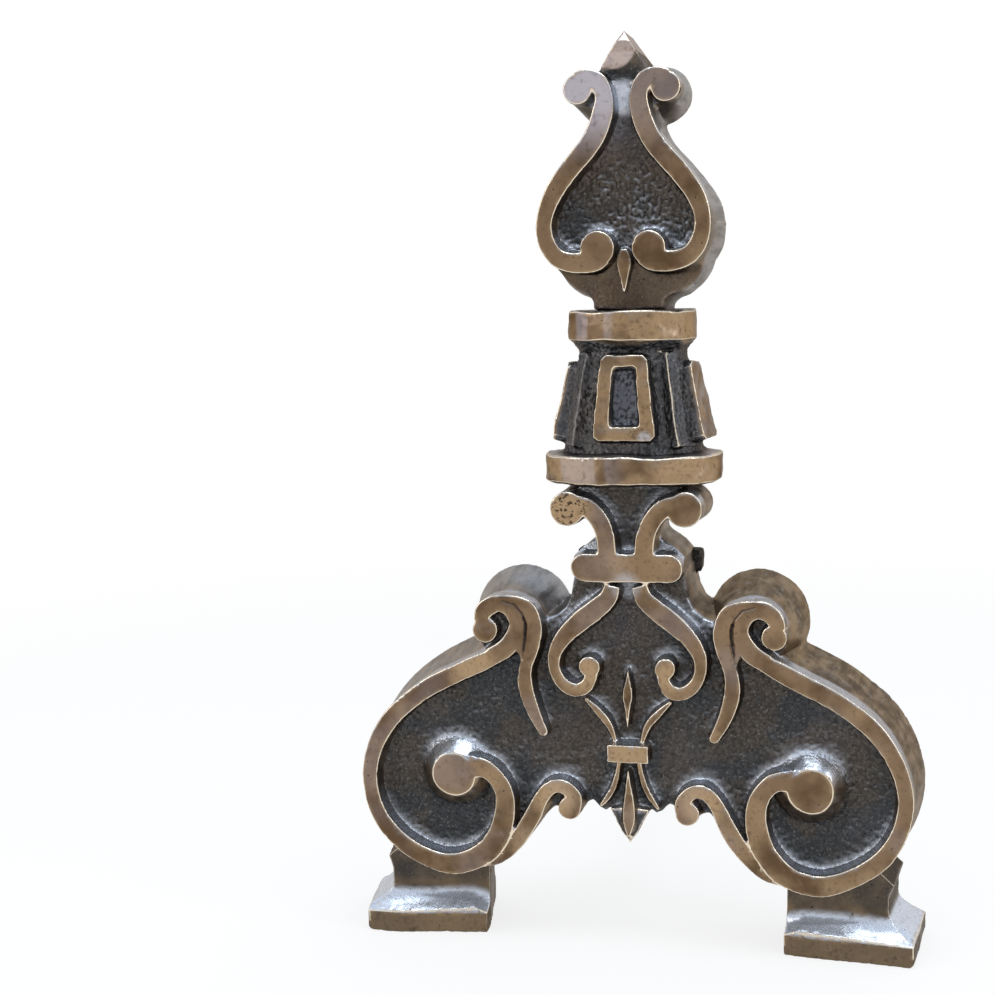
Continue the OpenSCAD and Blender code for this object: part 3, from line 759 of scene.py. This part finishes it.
def base_marks(points, normals):
    """Marks on the base."""
    depth, x, z = depth_of(points), points[:, 0], points[:, 2]
    line = from_line(points, chased_line)
    curls = most(rubbed(points, 31) * 0.5, spot(points, *gold_volute) * (depth > 4 * MM),
                 *(0.9 * spot(points, *curl) for curl in gold_curls))
    brown = most(*(spot(points, *curl) for curl in brown_curls))
    left_shoulder = ramp(depth, 12 * MM, 24 * MM) * ramp(z, 138 * MM, 150 * MM) * ramp(x, 40 * MM, 0)
    # Where a painted sheen shows on what looks up: near the ground, a little on the left, not along the
    # chased line.
    shine = most(near_relief(points), 0.25 * ramp(x, 10 * MM, -10 * MM))
    return {
        "ground": most(front_ground(points, normals), pendant_ground(points)),
        "gold": curls * (1 - brown),
        # Cool grey: random patches, and on the left shoulder partly a painted reflection.
        "cool": most(rubbed(points, 35, 30 * MM) * 0.12, 0.7 * left_shoulder),
        "pitted": spot(points, *pitted_curl) * (depth < relief),
        "shine": shine * (1 - 0.9 * ramp(line, 3.2, 2.2)),
        # A painted highlight on the collar.
        "bare": 0.25 * spot(points, *collar_highlight) * (depth < relief),
        # The chased line is added to the hollow, for its dark patina and the painted crevice shade.
        "darker": 1.5 * ramp(line, 0.8, 0.3) * (depth < 3 * MM),
    }


def base_wear_and_glint(place):
    """Where one strap runs into another there is no arris of its own."""
    joint = most(*(spot(place, way * x, z, reach) for way in (-1, 1) for x, z, reach in dull_joints))
    joint = joint * ramp(np.abs(past_root(place)), 0.15, 0.5)
    chased = ramp(from_line(place, chased_line), 3.6, 2.8)
    return front_wear_and_glint(place) * (1 - most(joint, chased))


base = add_casting("base_casting", 3, base_marks, base_wear_and_glint, warp=chase, drawn=root_arris())

# %% [markdown]
# ## The feet
# The feet are small castings of their own, dark round the neck, with a painted sheen and
# a painted highlight in the hollow above the plinth, where it looks up. The ledge round the
# plinth rises towards the neck, and the left foot was fitted a little more askew. Both are
# small moves of points of the skin.

# %% Feet
plinth_top = 9.5 * MM
ledge_rise = 0.42
ledge_width = 7.5 * MM
ledge_edge = 0.9 * MM
left_askew = math.radians(4)
screw_head_radius = 8.5 * MM
screws_low, screws_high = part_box("foot_screws")
screw_place = Vector((screws_high.x - screw_head_radius, screws_low.y + screw_head_radius, 0))


def foot_marks(points, normals):
    """Marks on a foot."""
    z = points[:, 2]
    plinth = ramp(z, plinth_top + 1 * MM, plinth_top - 1 * MM)
    looks_up = ramp(normals[:, 2], 0.05, 0.35) * (z > plinth_top - 0.5 * MM)
    return {
        "gold": most(rubbed(points, 33, 16 * MM) * 0.25, 0.25 * plinth),
        # A painted sheen and a painted highlight in the cove above the plinth, where it looks up.
        "shine": ramp(z, 27 * MM, 17 * MM) * ramp(z, plinth_top - 1 * MM, plinth_top),
        "hollow": np.zeros(len(z)),
        "ground": 0.45 * ramp(z, 19 * MM, 25 * MM),
        "bare": ramp(z, 24 * MM, 17 * MM) * looks_up,
    }


def foot_wear_and_glint(place):
    """Bright round the top of the plinth, dull round the neck."""
    z = place[:, 2]
    plinth = ramp(z, plinth_top + 2 * MM, plinth_top + 1 * MM) * (z > 4 * MM)
    return plinth + 0.35 * (z > plinth_top + 2 * MM)


def slope_ledge(points):
    """Lets the top of the plinth rise towards the neck."""
    low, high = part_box("right_foot" if points[0, 0] > 0 else "left_foot")
    inward = np.minimum(points[:, 0] - low.x, high.x - points[:, 0])
    inward = np.clip(np.minimum(inward, points[:, 1] - low.y) - ledge_edge, 0, ledge_width)
    ledge = ramp(points[:, 2], plinth_top + 14 * MM, plinth_top) * (points[:, 2] > plinth_top - 0.6 * MM)
    points[:, 2] += ledge_rise * inward * ledge


def turn_left_foot(points):
    """Slopes the ledge of the left foot, and turns the foot about its screw."""
    slope_ledge(points)
    x, y = points[:, 0] + screw_place.x, points[:, 1] - screw_place.y
    points[:, 0] = x * math.cos(left_askew) - y * math.sin(left_askew) - screw_place.x
    points[:, 1] = x * math.sin(left_askew) + y * math.cos(left_askew) + screw_place.y


left_foot = add_casting("left_foot", 5, foot_marks, foot_wear_and_glint, turn_left_foot)
right_foot = add_casting("right_foot", 6, foot_marks, foot_wear_and_glint, slope_ledge)

# %% [markdown]
# ## The drum: where it stands out
# The drum is modelled all round. What lies below the faces of its rings and tiles is
# dark ground. How far a point stands out is measured in the direction of each tile,
# because the tiles are flat and lean with the core.

# %% Rings and tiles
drum_low, drum_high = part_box("drum_casting")
drum_axis_y = (drum_low.y + drum_high.y) / 2
lower_ring_top = drum_low.z + 13.5 * MM
upper_ring_low = drum_high.z - 12.5 * MM
window_z = (lower_ring_top + upper_ring_low) / 2
tile_turn = math.radians(82)
# Each tile: the way it looks, how far out its face lies below and above, and half its width
tiles = (
    (0, 27.9, 24.5, 15),
    (math.pi, 27.9, 24.5, 15),
    (tile_turn, 36.6, 26.5, 13),
    (-tile_turn, 36.6, 26.5, 13),
)


def on_tile(points, turn, low_out, high_out, half):
    """1 where a point lies on the face of the tile that looks along turn."""
    x, y = points[:, 0], points[:, 1] - drum_axis_y
    out = x * math.sin(turn) - y * math.cos(turn)
    across = np.abs(x * math.cos(turn) + y * math.sin(turn))
    share = (points[:, 2] - lower_ring_top) / (upper_ring_low - lower_ring_top)
    face = (low_out + (high_out - low_out) * share) * MM
    return ramp(out - face, -1.9 * MM, -0.9 * MM) * (across < half * MM)


def on_tiles(points):
    """1 on the face of any tile."""
    return most(*(on_tile(points, *tile) for tile in tiles))


def on_rings(points):
    """1 on the two rings."""
    return most(ramp(points[:, 2], lower_ring_top + 0.8 * MM, lower_ring_top - 0.2 * MM),
                ramp(points[:, 2], upper_ring_low - 0.6 * MM, upper_ring_low + 0.4 * MM))


print("core between", round(lower_ring_top, 4), "and", round(upper_ring_low, 4))

# %% [markdown]
# ## The drum: marks
# Rings and tiles are filed and golden, with cool bands where the rings turn to the left,
# painted as a reflection, and a painted sheen where they look up. The window in the front
# tile is bluer than the rest of the dark core, which is hammered coarsely, and the outlines
# waver more than those of the base.

# %% Drum casting
# Spots are x, z and reach, in millimetres
gold_window = (2, 243, 26)
gold_ring_ends = ((20, 276, 16), (24, 214, 16))
pitted_tile = (6, 230, 7)
tile_highlight = (9, 228, 4)
bright_post = math.radians(43)


def drum_marks(points, normals):
    """Marks on the drum."""
    x, z = points[:, 0], points[:, 2]
    rings = on_rings(points)
    standing = most(rings, on_tiles(points))
    front = points[:, 1] < drum_axis_y
    bands = ramp(lumps(points * (1, 1, 0.12), 8 * MM, 43, 1), 0.05, 0.30)
    window = ramp(np.abs(x), 6.5 * MM, 5 * MM) * front * (1 - standing)
    window = window * ramp(np.abs(z - window_z), 20 * MM, 17 * MM)
    return {
        "ground": (1 - standing) * (0.92 + 0.08 * window),
        "face": standing * ramp(np.abs(normals[:, 2]), 0.75, 0.45),
        "gold": most(rubbed(points, 37, 15 * MM) * 0.7, 0.6 * spot(points, *gold_window) * front,
                     *(0.8 * spot(points, *end) * front for end in gold_ring_ends)),
        # Cool: a tone on the core and the window, and a painted reflection on the left of the rings.
        "cool": most(window, 0.35 * (1 - standing), 0.30 * bands * rings * ramp(x, 4 * MM, -12 * MM)),
        "pitted": 0.5 * spot(points, *pitted_tile) * front,
        # A painted sheen where rings and tiles look up, and a small painted highlight on the front tile.
        "shine": 0.5 * standing,
        "bare": 0.35 * spot(points, *tile_highlight) * front * standing,
    }


def drum_wear_and_glint(place):
    """Bright on the rings and the tiles, faint on the other arrises between them, and bright on one arris of
    the right front post as a painted highlight.
    """
    angle = np.arctan2(place[:, 0], drum_axis_y - place[:, 1])
    post = ramp(np.abs(angle - bright_post), math.radians(5), math.radians(2))
    between = (place[:, 2] > lower_ring_top + 4 * MM) * (place[:, 2] < upper_ring_low - 5 * MM)
    return most(on_rings(place), on_tiles(place), (0.15 + 0.75 * post) * between)


def waver(points):
    """Lets the outlines waver, as they were filed by eye."""
    points += wander(points, 11 * MM, 19) * 0.55 * MM


drum = add_casting("drum_casting", 7, drum_marks, drum_wear_and_glint, warp=waver, facets=0.9 * MM, hammered=0.45 * MM)

# %% [markdown]
# ## The finial
# The bulb has the same straps on a ground as the base, and cool walls on its left,
# painted as a reflection. Its cap isn't sunk, but its front is painted dark as shade round
# a bright round scoop, and the bridge between its hooks has a painted highlight. Below
# the straps the bulb rounds away to its sides, which the drawn solid leaves square.

# %% Finial
finial_low, finial_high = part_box("finial_casting")
cap_low = finial_high.z - 23.5 * MM
cap_half = 10.5 * MM
scoop_x = -4.8 * MM
scoop_z = finial_high.z - 5.3 * MM
# Spots are x, z and reach, in millimetres
olive_patch = (15, 299, 11)
bridge = (0, 372, 9)
bridge_arris = (0, 372, 11)
drop_leaf = (0, 303, 12)
hook_notch = (25.4, 373.4, 2.4)


def cap_and_scoop(points):
    """The front of the cap, and the bright round that is scooped out of it."""
    x, z = points[:, 0], points[:, 2]
    cap = ramp(z, cap_low + 1 * MM, cap_low + 3 * MM) * (np.abs(x) < cap_half)
    cap = cap * (depth_of(points) > 4 * MM)
    return cap, cap * ramp(np.hypot(x - scoop_x, z - scoop_z), 11.2 * MM, 10.4 * MM)


def finial_ground(points, normals, olive):
    """The sunk ground, weaker below the straps and a little weaker towards the top."""
    z = points[:, 2]
    ground = front_ground(points, normals) * ramp(z, cap_low + 2 * MM, cap_low)
    body = ramp(z, finial_low.z + 19 * MM, finial_low.z + 25 * MM)
    return ground * most(body, 0.60 * (1 - olive)) * (0.86 + 0.14 * ramp(z, 352 * MM, 322 * MM))


def finial_marks(points, normals):
    """Marks on the finial."""
    depth, x, z = depth_of(points), points[:, 0], points[:, 2]
    cap, scoop = cap_and_scoop(points)
    olive = spot(points, *olive_patch) * (depth > relief)
    between_hooks = spot(points, *bridge) * (depth > 3 * MM) * (depth < 14 * MM)
    high = ramp(z, finial_low.z + 60 * MM, finial_low.z + 92 * MM)
    # Cool grey on the upper bulb, strongest on its left: a painted reflection.
    cool_left = high * (0.25 + 0.75 * ramp(x, 4 * MM, -6 * MM))
    return {
        # The front of the cap round the scoop takes the dark of the ground as painted shade.
        "ground": most(finial_ground(points, normals, olive) * (1 - between_hooks), 0.6 * (cap - scoop)),
        "face": ramp(-normals[:, 1], *facing_front) * (1 - cap) + scoop,
        "gold": most(rubbed(points, 41) * 0.3, scoop, olive),
        "cool": most(cool_left * (1 - cap), ramp(depth, 10 * MM, 16 * MM) * (1 - cap), 0.5 * scoop),
        # A painted sheen where the bulb looks up, and a painted highlight on the bridge between the hooks.
        "shine": np.maximum(near_relief(points), 0.2) * (1 - cap),
        "bare": 0.7 * between_hooks,
        # Painted shade: the front of the cap round the scoop, and a dark spot in the notch of the right
        # hook.
        "darker": 1.3 * (cap - scoop) + 3 * spot(points, *hook_notch) * (depth < 4 * MM),
    }


def finial_wear_and_glint(place):
    """The bridge between the hooks has no bright arris, and the drop leaf a dull one."""
    return front_wear_and_glint(place) * (1 - spot(place, *bridge_arris)) * (1 - 0.5 * spot(place, *drop_leaf))


def round_away(points):
    """Takes the front of the bulb back towards its sides, below the straps."""
    depth = depth_of(points)
    low = ramp(points[:, 2], finial_low.z + 26 * MM, finial_low.z + 13 * MM)
    back = 7 * MM * np.minimum(np.abs(points[:, 0]) / (20 * MM), 1.6) ** 2
    points[:, 1] += back * low * ramp(depth, 32 * MM, 8 * MM) * ramp(depth, 1 * MM, 6 * MM)


finial = add_casting("finial_casting", 8, finial_marks, finial_wear_and_glint, warp=round_away, hammered=0.46 * MM)

# %% [markdown]
# ## Building a metal
# A metal is a recipe that starts from the object's own coordinates and ends in one
# shader. These short ways of adding a noise or a stretch keep each finish below down to
# its own values. Sizes are in millimetres. A patina keeps the metal dark where it is
# seen aslant, which the tint of the edge gives.

# %% Finish
edge_tint = (0.50, 0.44, 0.38, 1)


def rgb(red, green, blue):
    """A colour with full alpha."""
    return (red, green, blue, 1)


class Finish(Recipe):
    """The recipe of a metal."""

    def __init__(self, name):
        self.material = bpy.data.materials.new(name)
        super().__init__(self.material)
        where = self.add("ShaderNodeTexCoord")
        self.at = where["Object"]
        self.upward = self.add("ShaderNodeSeparateXYZ", {0: where["Normal"]})["Z"]

    def attribute(self, layer):
        """One of the numbers kept on the points of the skin."""
        return self.add("ShaderNodeAttribute", attribute_name=layer)["Fac"]

    def stretched(self, stretch, turn=(0, 0, 0)):
        """Object coordinates turned and then stretched."""
        turned = self.add("ShaderNodeMapping", {"Vector": self.at, "Rotation": turn})[0]
        return self.add("ShaderNodeMapping", {"Vector": turned, "Scale": stretch})[0]

    def noise(self, size, detail=3.0, at=None):
        """Clouds of a size."""
        sockets = {"Vector": at or self.at, "Scale": 1000 / size, "Detail": detail, "Roughness": 0.55}
        return self.add("ShaderNodeTexNoise", sockets)["Fac"]

    def cells(self, size, feature="F1"):
        """The distance from the middles of scattered cells of a size."""
        sockets = {"Vector": self.at, "Scale": 1000 / size}
        return self.add("ShaderNodeTexVoronoi", sockets, feature=feature)["Distance"]

    def metal(self, colour, roughness, height, metallic=0.9):
        """The shader, with a bump whose height is in millimetres."""
        bump = self.add("ShaderNodeBump", {"Strength": 1.0, "Distance": MM, "Height": height})
        shader = self.add("ShaderNodeBsdfPrincipled", {
            "Metallic": metallic, "Base Color": colour, "Roughness": roughness,
            "Specular Tint": edge_tint, "Normal": bump["Normal"]})
        self.add("ShaderNodeOutputMaterial", {"Surface": shader[0]})
        return self.material


print("edge tint:", edge_tint[:3])

# %% [markdown]
# ## The bronze
# Patina is a skin of colour on one metal. So one recipe serves every casting and reads
# the measures of the skin. What its parts share is kept together: the marks, a few
# noises from broad clouds down to fine specks, and how far a surface looks up or down.

# %% What the parts of the bronze share


class Bronze(Finish):
    """A bronze with the marks of the skin and the noises that its parts share."""

    def __init__(self, name):
        super().__init__(name)
        for mark in (*mark_names, "side", "near", "worn", "hollow", "crest"):
            setattr(self, mark, self.attribute(mark))
        self.up = self.ramp(self.upward, 0.0, 0.55)
        self.down = self.ramp(self.upward, -0.70, -0.95)
        self.broad = self.noise(38)
        self.patch = self.noise(12)
        self.mottle = self.noise(3.2, 4)
        self.fine = self.noise(0.9, 3)
        self.grains = self.cells(1.4, "SMOOTH_F1")


print("noises of 38, 12, 3.2 and 0.9 mm, grains of 1.4 mm")

# %% [markdown]
# ### Faces and walls
# What looks to the front was worked and rubbed: satin brown in broad clouds, golden
# where it was touched, stained and finely scratched. What looks aside is paler and
# cooler and still has the strokes of the file.

# %% Faces and walls
rubbed_gold = rgb(0.45, 0.31, 0.18)
# Cool colours go where the cool mark is: a cool tone, and on left sides a painted reflection.
cool_face = rgb(0.60, 0.57, 0.64)
stain = rgb(0.085, 0.058, 0.038)
scratch_tan = rgb(0.45, 0.35, 0.25)
cool_wall = rgb(0.45, 0.47, 0.50)
gold_wall = rgb(0.34, 0.24, 0.14)
stroke_dark = rgb(0.055, 0.050, 0.045)
wall_pale = rgb(0.40, 0.36, 0.33)


def worked_face(b, dark, light):
    """Satin brown in clouds, with gold, cool and stained places and scratches."""
    clouds = b.plus(b.times(b.broad, 0.6), b.times(b.patch, 0.4))
    colour = b.mix(b.ramp(clouds, 0.40, 0.60), dark, light)
    colour = b.tint(colour, rubbed_gold, b.gold, b.ramp(b.mottle, 0.18, 0.50))
    colour = b.tint(colour, cool_face, b.cool, 0.9)
    colour = b.tint(colour, stain, b.ramp(b.mottle, 0.52, 0.74), 0.45)
    scratches = b.ramp(b.noise(1.0, 2, b.stretched((1, 1, 0.12), (0, 0.6, 0))), 0.64, 0.74)
    return b.tint(colour, scratch_tan, scratches, 0.16)


def filed_wall(b, dark, light):
    """Paler and cooler, with the strokes of a file."""
    colour = b.mix(b.ramp(b.patch, 0.4, 0.6), dark, light)
    colour = b.tint(colour, cool_wall, b.cool, 0.85)
    colour = b.tint(colour, gold_wall, b.gold, 0.6)
    strokes = b.ramp(b.noise(4, 4, b.stretched((1, 0.16, 1))), 0.38, 0.66)
    colour = b.tint(colour, stroke_dark, strokes, 0.5)
    return b.tint(colour, wall_pale, b.ramp(b.mottle, 0.52, 0.70), 0.4)


print("gold", rubbed_gold[:3], "over a stain of", stain[:3])

# %% [markdown]
# ### The sunk ground
# The ground keeps the skin of the sand, blackened by smoke: blue black and brown black
# in clouds, darker between the grains and grey where their crests were rubbed. Hollows
# take the dark patina of the ground and a painted shade, less where they look up under
# the painted sheen.

# %% Ground and hollows
blue_black = rgb(0.054, 0.058, 0.062)
brown_black = rgb(0.088, 0.074, 0.062)
grain_black = rgb(0.022, 0.022, 0.023)
cool_ground = rgb(0.13, 0.135, 0.16)
sand_grey = rgb(0.30, 0.29, 0.28)
crest_grey = rgb(0.22, 0.22, 0.235)
trough_black = rgb(0.016, 0.016, 0.017)


def sunk_ground(b):
    """Near black, with grains, specks and rubbed crests."""
    colour = b.mix(b.ramp(b.noise(26), 0.42, 0.62), blue_black, brown_black)
    colour = b.tint(colour, grain_black, b.ramp(b.grains, 0.30, 0.55), 0.45)
    colour = b.tint(colour, cool_ground, b.cool, 0.8)
    colour = b.tint(colour, sand_grey, b.ramp(b.fine, 0.58, 0.72), 0.5)
    colour = b.tint(colour, crest_grey, b.ramp(b.crest, 0.02, 0.16), b.ramp(b.noise(5), 0.40, 0.60), 0.55)
    return b.tint(colour, trough_black, b.ramp(b.crest, -0.01, -0.13), 0.75)


def crevices(b):
    """Hollows, with dark patina and painted shade, less where they look up under the painted sheen."""
    return b.times(b.ramp(b.hollow, 0.45, 1.9), b.minus(1, b.times(b.up, b.shine, 0.9)))


print("ground from", blue_black[:3], "to", brown_black[:3])

# %% [markdown]
# ### Painted sheen, pits and arrises
# A painted sheen and painted highlights, cool as the light from above, show where a surface
# looks up, but not down between the grains. Pin holes come in patches. The bright line along
# an arris has an uneven width of a few tenths of a millimetre and is worn metal with a painted
# highlight. A brown halo beside it shows where the patina is worn thin.

# %% Painted sheen, pits and arrises


def painted_sheen(b):
    """A painted sheen where a surface looks up, and painted highlights where marked."""
    sheen = b.times(b.up, b.shine, b.ramp(b.patch, 0.12, 0.40))
    sheen = b.greater(sheen, b.times(b.bare, b.ramp(b.mottle, 0.24, 0.42)))
    return b.times(sheen, b.minus(1, b.times(b.ramp(b.grains, 0.36, 0.62), 0.25)))


def pin_holes(b):
    """Sparse pits in patches, and dense ones where a place is marked as pitted."""
    sparse = b.times(b.ramp(b.cells(3.1), 0.16, 0.08), b.ramp(b.patch, 0.52, 0.62))
    dense = b.times(b.ramp(b.noise(1.7, 2), 0.53, 0.60), b.pitted)
    return b.greater(sparse, dense)


def arris_line(b):
    """The bright line along an arris."""
    width = b.plus(0.10, b.times(b.noise(7), 0.45))
    line = b.ramp(b.minus(b.maths("ABSOLUTE", b.side, 0), width), 0.16, -0.10)
    return b.times(line, b.worn, b.ramp(b.near, 1.35, 0.95))


def arris_halo(b, sunk):
    """The worn strip beside it, on faces and walls only."""
    strip = b.times(b.ramp(b.near, 2.2, 0.5), b.ramp(b.noise(5), 0.42, 0.62), b.worn)
    return b.times(strip, b.minus(1, sunk))


print("recipe parts:", [part.__name__ for part in (painted_sheen, pin_holes, arris_line, arris_halo)])

# %% [markdown]
# ### The whole bronze
# The parts are laid over each other: the patina of faces and walls, the soot of the ground,
# painted shade in the hollows, a painted sheen and highlights, painted shade below, pits,
# then wear and the painted highlight of the arrises. The same layers set how rough and how
# high the surface is. The feet are of the same bronze with a darker patina.

# %% Bronze
crevice_shade = rgb(0.012, 0.013, 0.015)
sheen_silver = rgb(0.60, 0.64, 0.72)
highlight_blue_white = rgb(0.80, 0.87, 1.0)
underside_shade = rgb(0.03, 0.028, 0.027)
pit_black = rgb(0.015, 0.014, 0.013)
halo_brown = rgb(0.42, 0.30, 0.18)
arris_gold = rgb(0.88, 0.76, 0.60)


def bronze_finish(name, face, face_light, wall, wall_light):
    """Patinated bronze, with its own tints for faces and walls."""
    b = Bronze(name)
    crevice = crevices(b)
    sunk = b.greater(b.ground, crevice)
    sheen, holes, line = painted_sheen(b), pin_holes(b), arris_line(b)

    colour = b.mix(b.face, filed_wall(b, wall, wall_light), worked_face(b, face, face_light))
    colour = b.mix(sunk, colour, sunk_ground(b))
    # Painted shade: hollows turn near black the deeper they lie, over their dark patina.
    colour = b.tint(colour, crevice_shade, crevice, b.ramp(b.hollow, 0.9, 2.4))
    # A painted sheen, cool as the light from above, on what looks up.
    colour = b.tint(colour, sheen_silver, sheen, 0.94)
    # Painted highlights, blue white as the light from above, where marked.
    colour = b.tint(colour, highlight_blue_white, b.bare, b.ramp(b.mottle, 0.28, 0.48), 0.6)
    # Painted shade on what looks down.
    colour = b.tint(colour, underside_shade, b.down, 0.8)
    colour = b.tint(colour, pit_black, holes, 0.85)
    colour = b.tint(colour, halo_brown, arris_halo(b, sunk), 0.45)
    # The bright line of the arrises: worn metal with a painted highlight.
    colour = b.tint(colour, arris_gold, line, 0.92)

    rough = b.plus(0.26, b.times(b.fine, 0.18), b.times(sunk, 0.06))
    rough = b.minus(rough, b.times(b.greater(sheen, line), 0.10))
    specks = b.times(b.fine, b.plus(0.02, b.times(sunk, 0.24)))
    height = b.plus(b.times(b.grains, sunk, -0.35), b.times(b.mottle, 0.12), specks)
    height = b.minus(height, b.times(holes, 0.15))
    return b.metal(colour, rough, height, b.minus(0.9, b.times(b.bare, 0.35)))


bronze = bronze_finish("worn_bronze", rgb(0.122, 0.073, 0.039), rgb(0.242, 0.160, 0.097),
                       rgb(0.345, 0.265, 0.190), rgb(0.180, 0.140, 0.108))
dark_bronze = bronze_finish("dark_bronze", rgb(0.062, 0.050, 0.040), rgb(0.120, 0.088, 0.058),
                            rgb(0.062, 0.060, 0.057), rgb(0.110, 0.096, 0.082))
for casting in (base, drum, finial):
    casting.data.materials.append(bronze)
for casting in (left_foot, right_foot):
    casting.data.materials.append(dark_bronze)
print("bronze on 5 castings")

# %% [markdown]
# ## The ironwork
# The strap, the bar and its leg are forged. A smith's hammer leaves broad shallow
# facets and knocks the corners round, so these go through a skin of their own.

# %% Forgings
ironwork = ("back_strap", "billet_bar", "rear_leg")
forging_voxel = 0.9 * MM


def add_forging(node, seed):
    """A hammered piece made from its solid."""
    piece = merged_copy(node)
    voxel_skin(piece, forging_voxel)
    skin = Skin(piece)
    skin.smooth(4)
    start = skin.points.copy()
    skin.bump(-np.abs(lumps(start, 12 * MM, seed, 1)) * 0.55 * MM)
    skin.bump(lumps(start, 4 * MM, seed + 1) * 0.08 * MM)
    skin.points = np.clip(skin.points, start.min(0), start.max(0))
    skin.store("near", skin.blur(-skin.hollow(2) / forging_voxel, 1))
    skin.write()
    thin_out(piece)
    take_place(piece, node)
    return piece


forgings = [add_forging(node, seed) for seed, node in enumerate(ironwork, 51)]
print("forgings:", [piece.name for piece in forgings])

# %% [markdown]
# ## Iron and steel
# Fire leaves a black scale on iron, with a little rust in it, and the corners are
# rubbed grey. The screws, nuts, washers and dowels are dull steel, and stay as they
# are drawn, because a turned part has true rounds and sharp edges.

# %% Iron and steel
hardware = ("tie_rod", "tie_rod_nut", "tie_rod_washer", "foot_screws", "foot_washers", "foot_dowels",
            "drum_dowels", "finial_dowels", "strap_screws", "strap_washers", "rear_washer", "rear_nut")


def iron_finish():
    """Fire-blackened iron with a scaly skin, a little rust and rubbed corners."""
    f = Finish("black_iron")
    scale, broad = f.noise(1.6, 4), f.noise(11)
    colour = f.mix(f.ramp(scale, 0.35, 0.65), rgb(0.022, 0.021, 0.020), rgb(0.060, 0.056, 0.052))
    colour = f.tint(colour, rgb(0.09, 0.045, 0.026), f.ramp(broad, 0.55, 0.70), 0.5)
    colour = f.tint(colour, rgb(0.16, 0.155, 0.15), f.ramp(f.attribute("near"), 0.10, 0.30))
    height = f.plus(f.times(scale, 0.22), f.times(f.cells(2.4), 0.12))
    return f.metal(colour, f.plus(0.42, f.times(scale, 0.2)), height)


def steel_finish():
    """Dull grey steel with a little rust."""
    f = Finish("grey_steel")
    mottle, fine = f.noise(2.2, 4), f.noise(0.5, 2)
    colour = f.mix(f.ramp(mottle, 0.35, 0.65), rgb(0.17, 0.17, 0.165), rgb(0.26, 0.255, 0.25))
    colour = f.tint(colour, rgb(0.12, 0.065, 0.035), f.ramp(f.noise(6), 0.56, 0.70), 0.6)
    return f.metal(colour, f.plus(0.30, f.times(mottle, 0.18)), f.times(fine, 0.03))


black_iron = iron_finish()
grey_steel = steel_finish()
for piece in forgings:
    piece.data.materials.append(black_iron)
for name in hardware:
    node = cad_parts[name]
    finish = black_iron if name == "tie_rod" else grey_steel
    for place in node.material_slots:
        place.material = finish
    if not node.material_slots:
        node.data.materials.append(finish)
print("iron on", len(forgings) + 1, "pieces, steel on", len(hardware) - 1)

# %% [markdown]
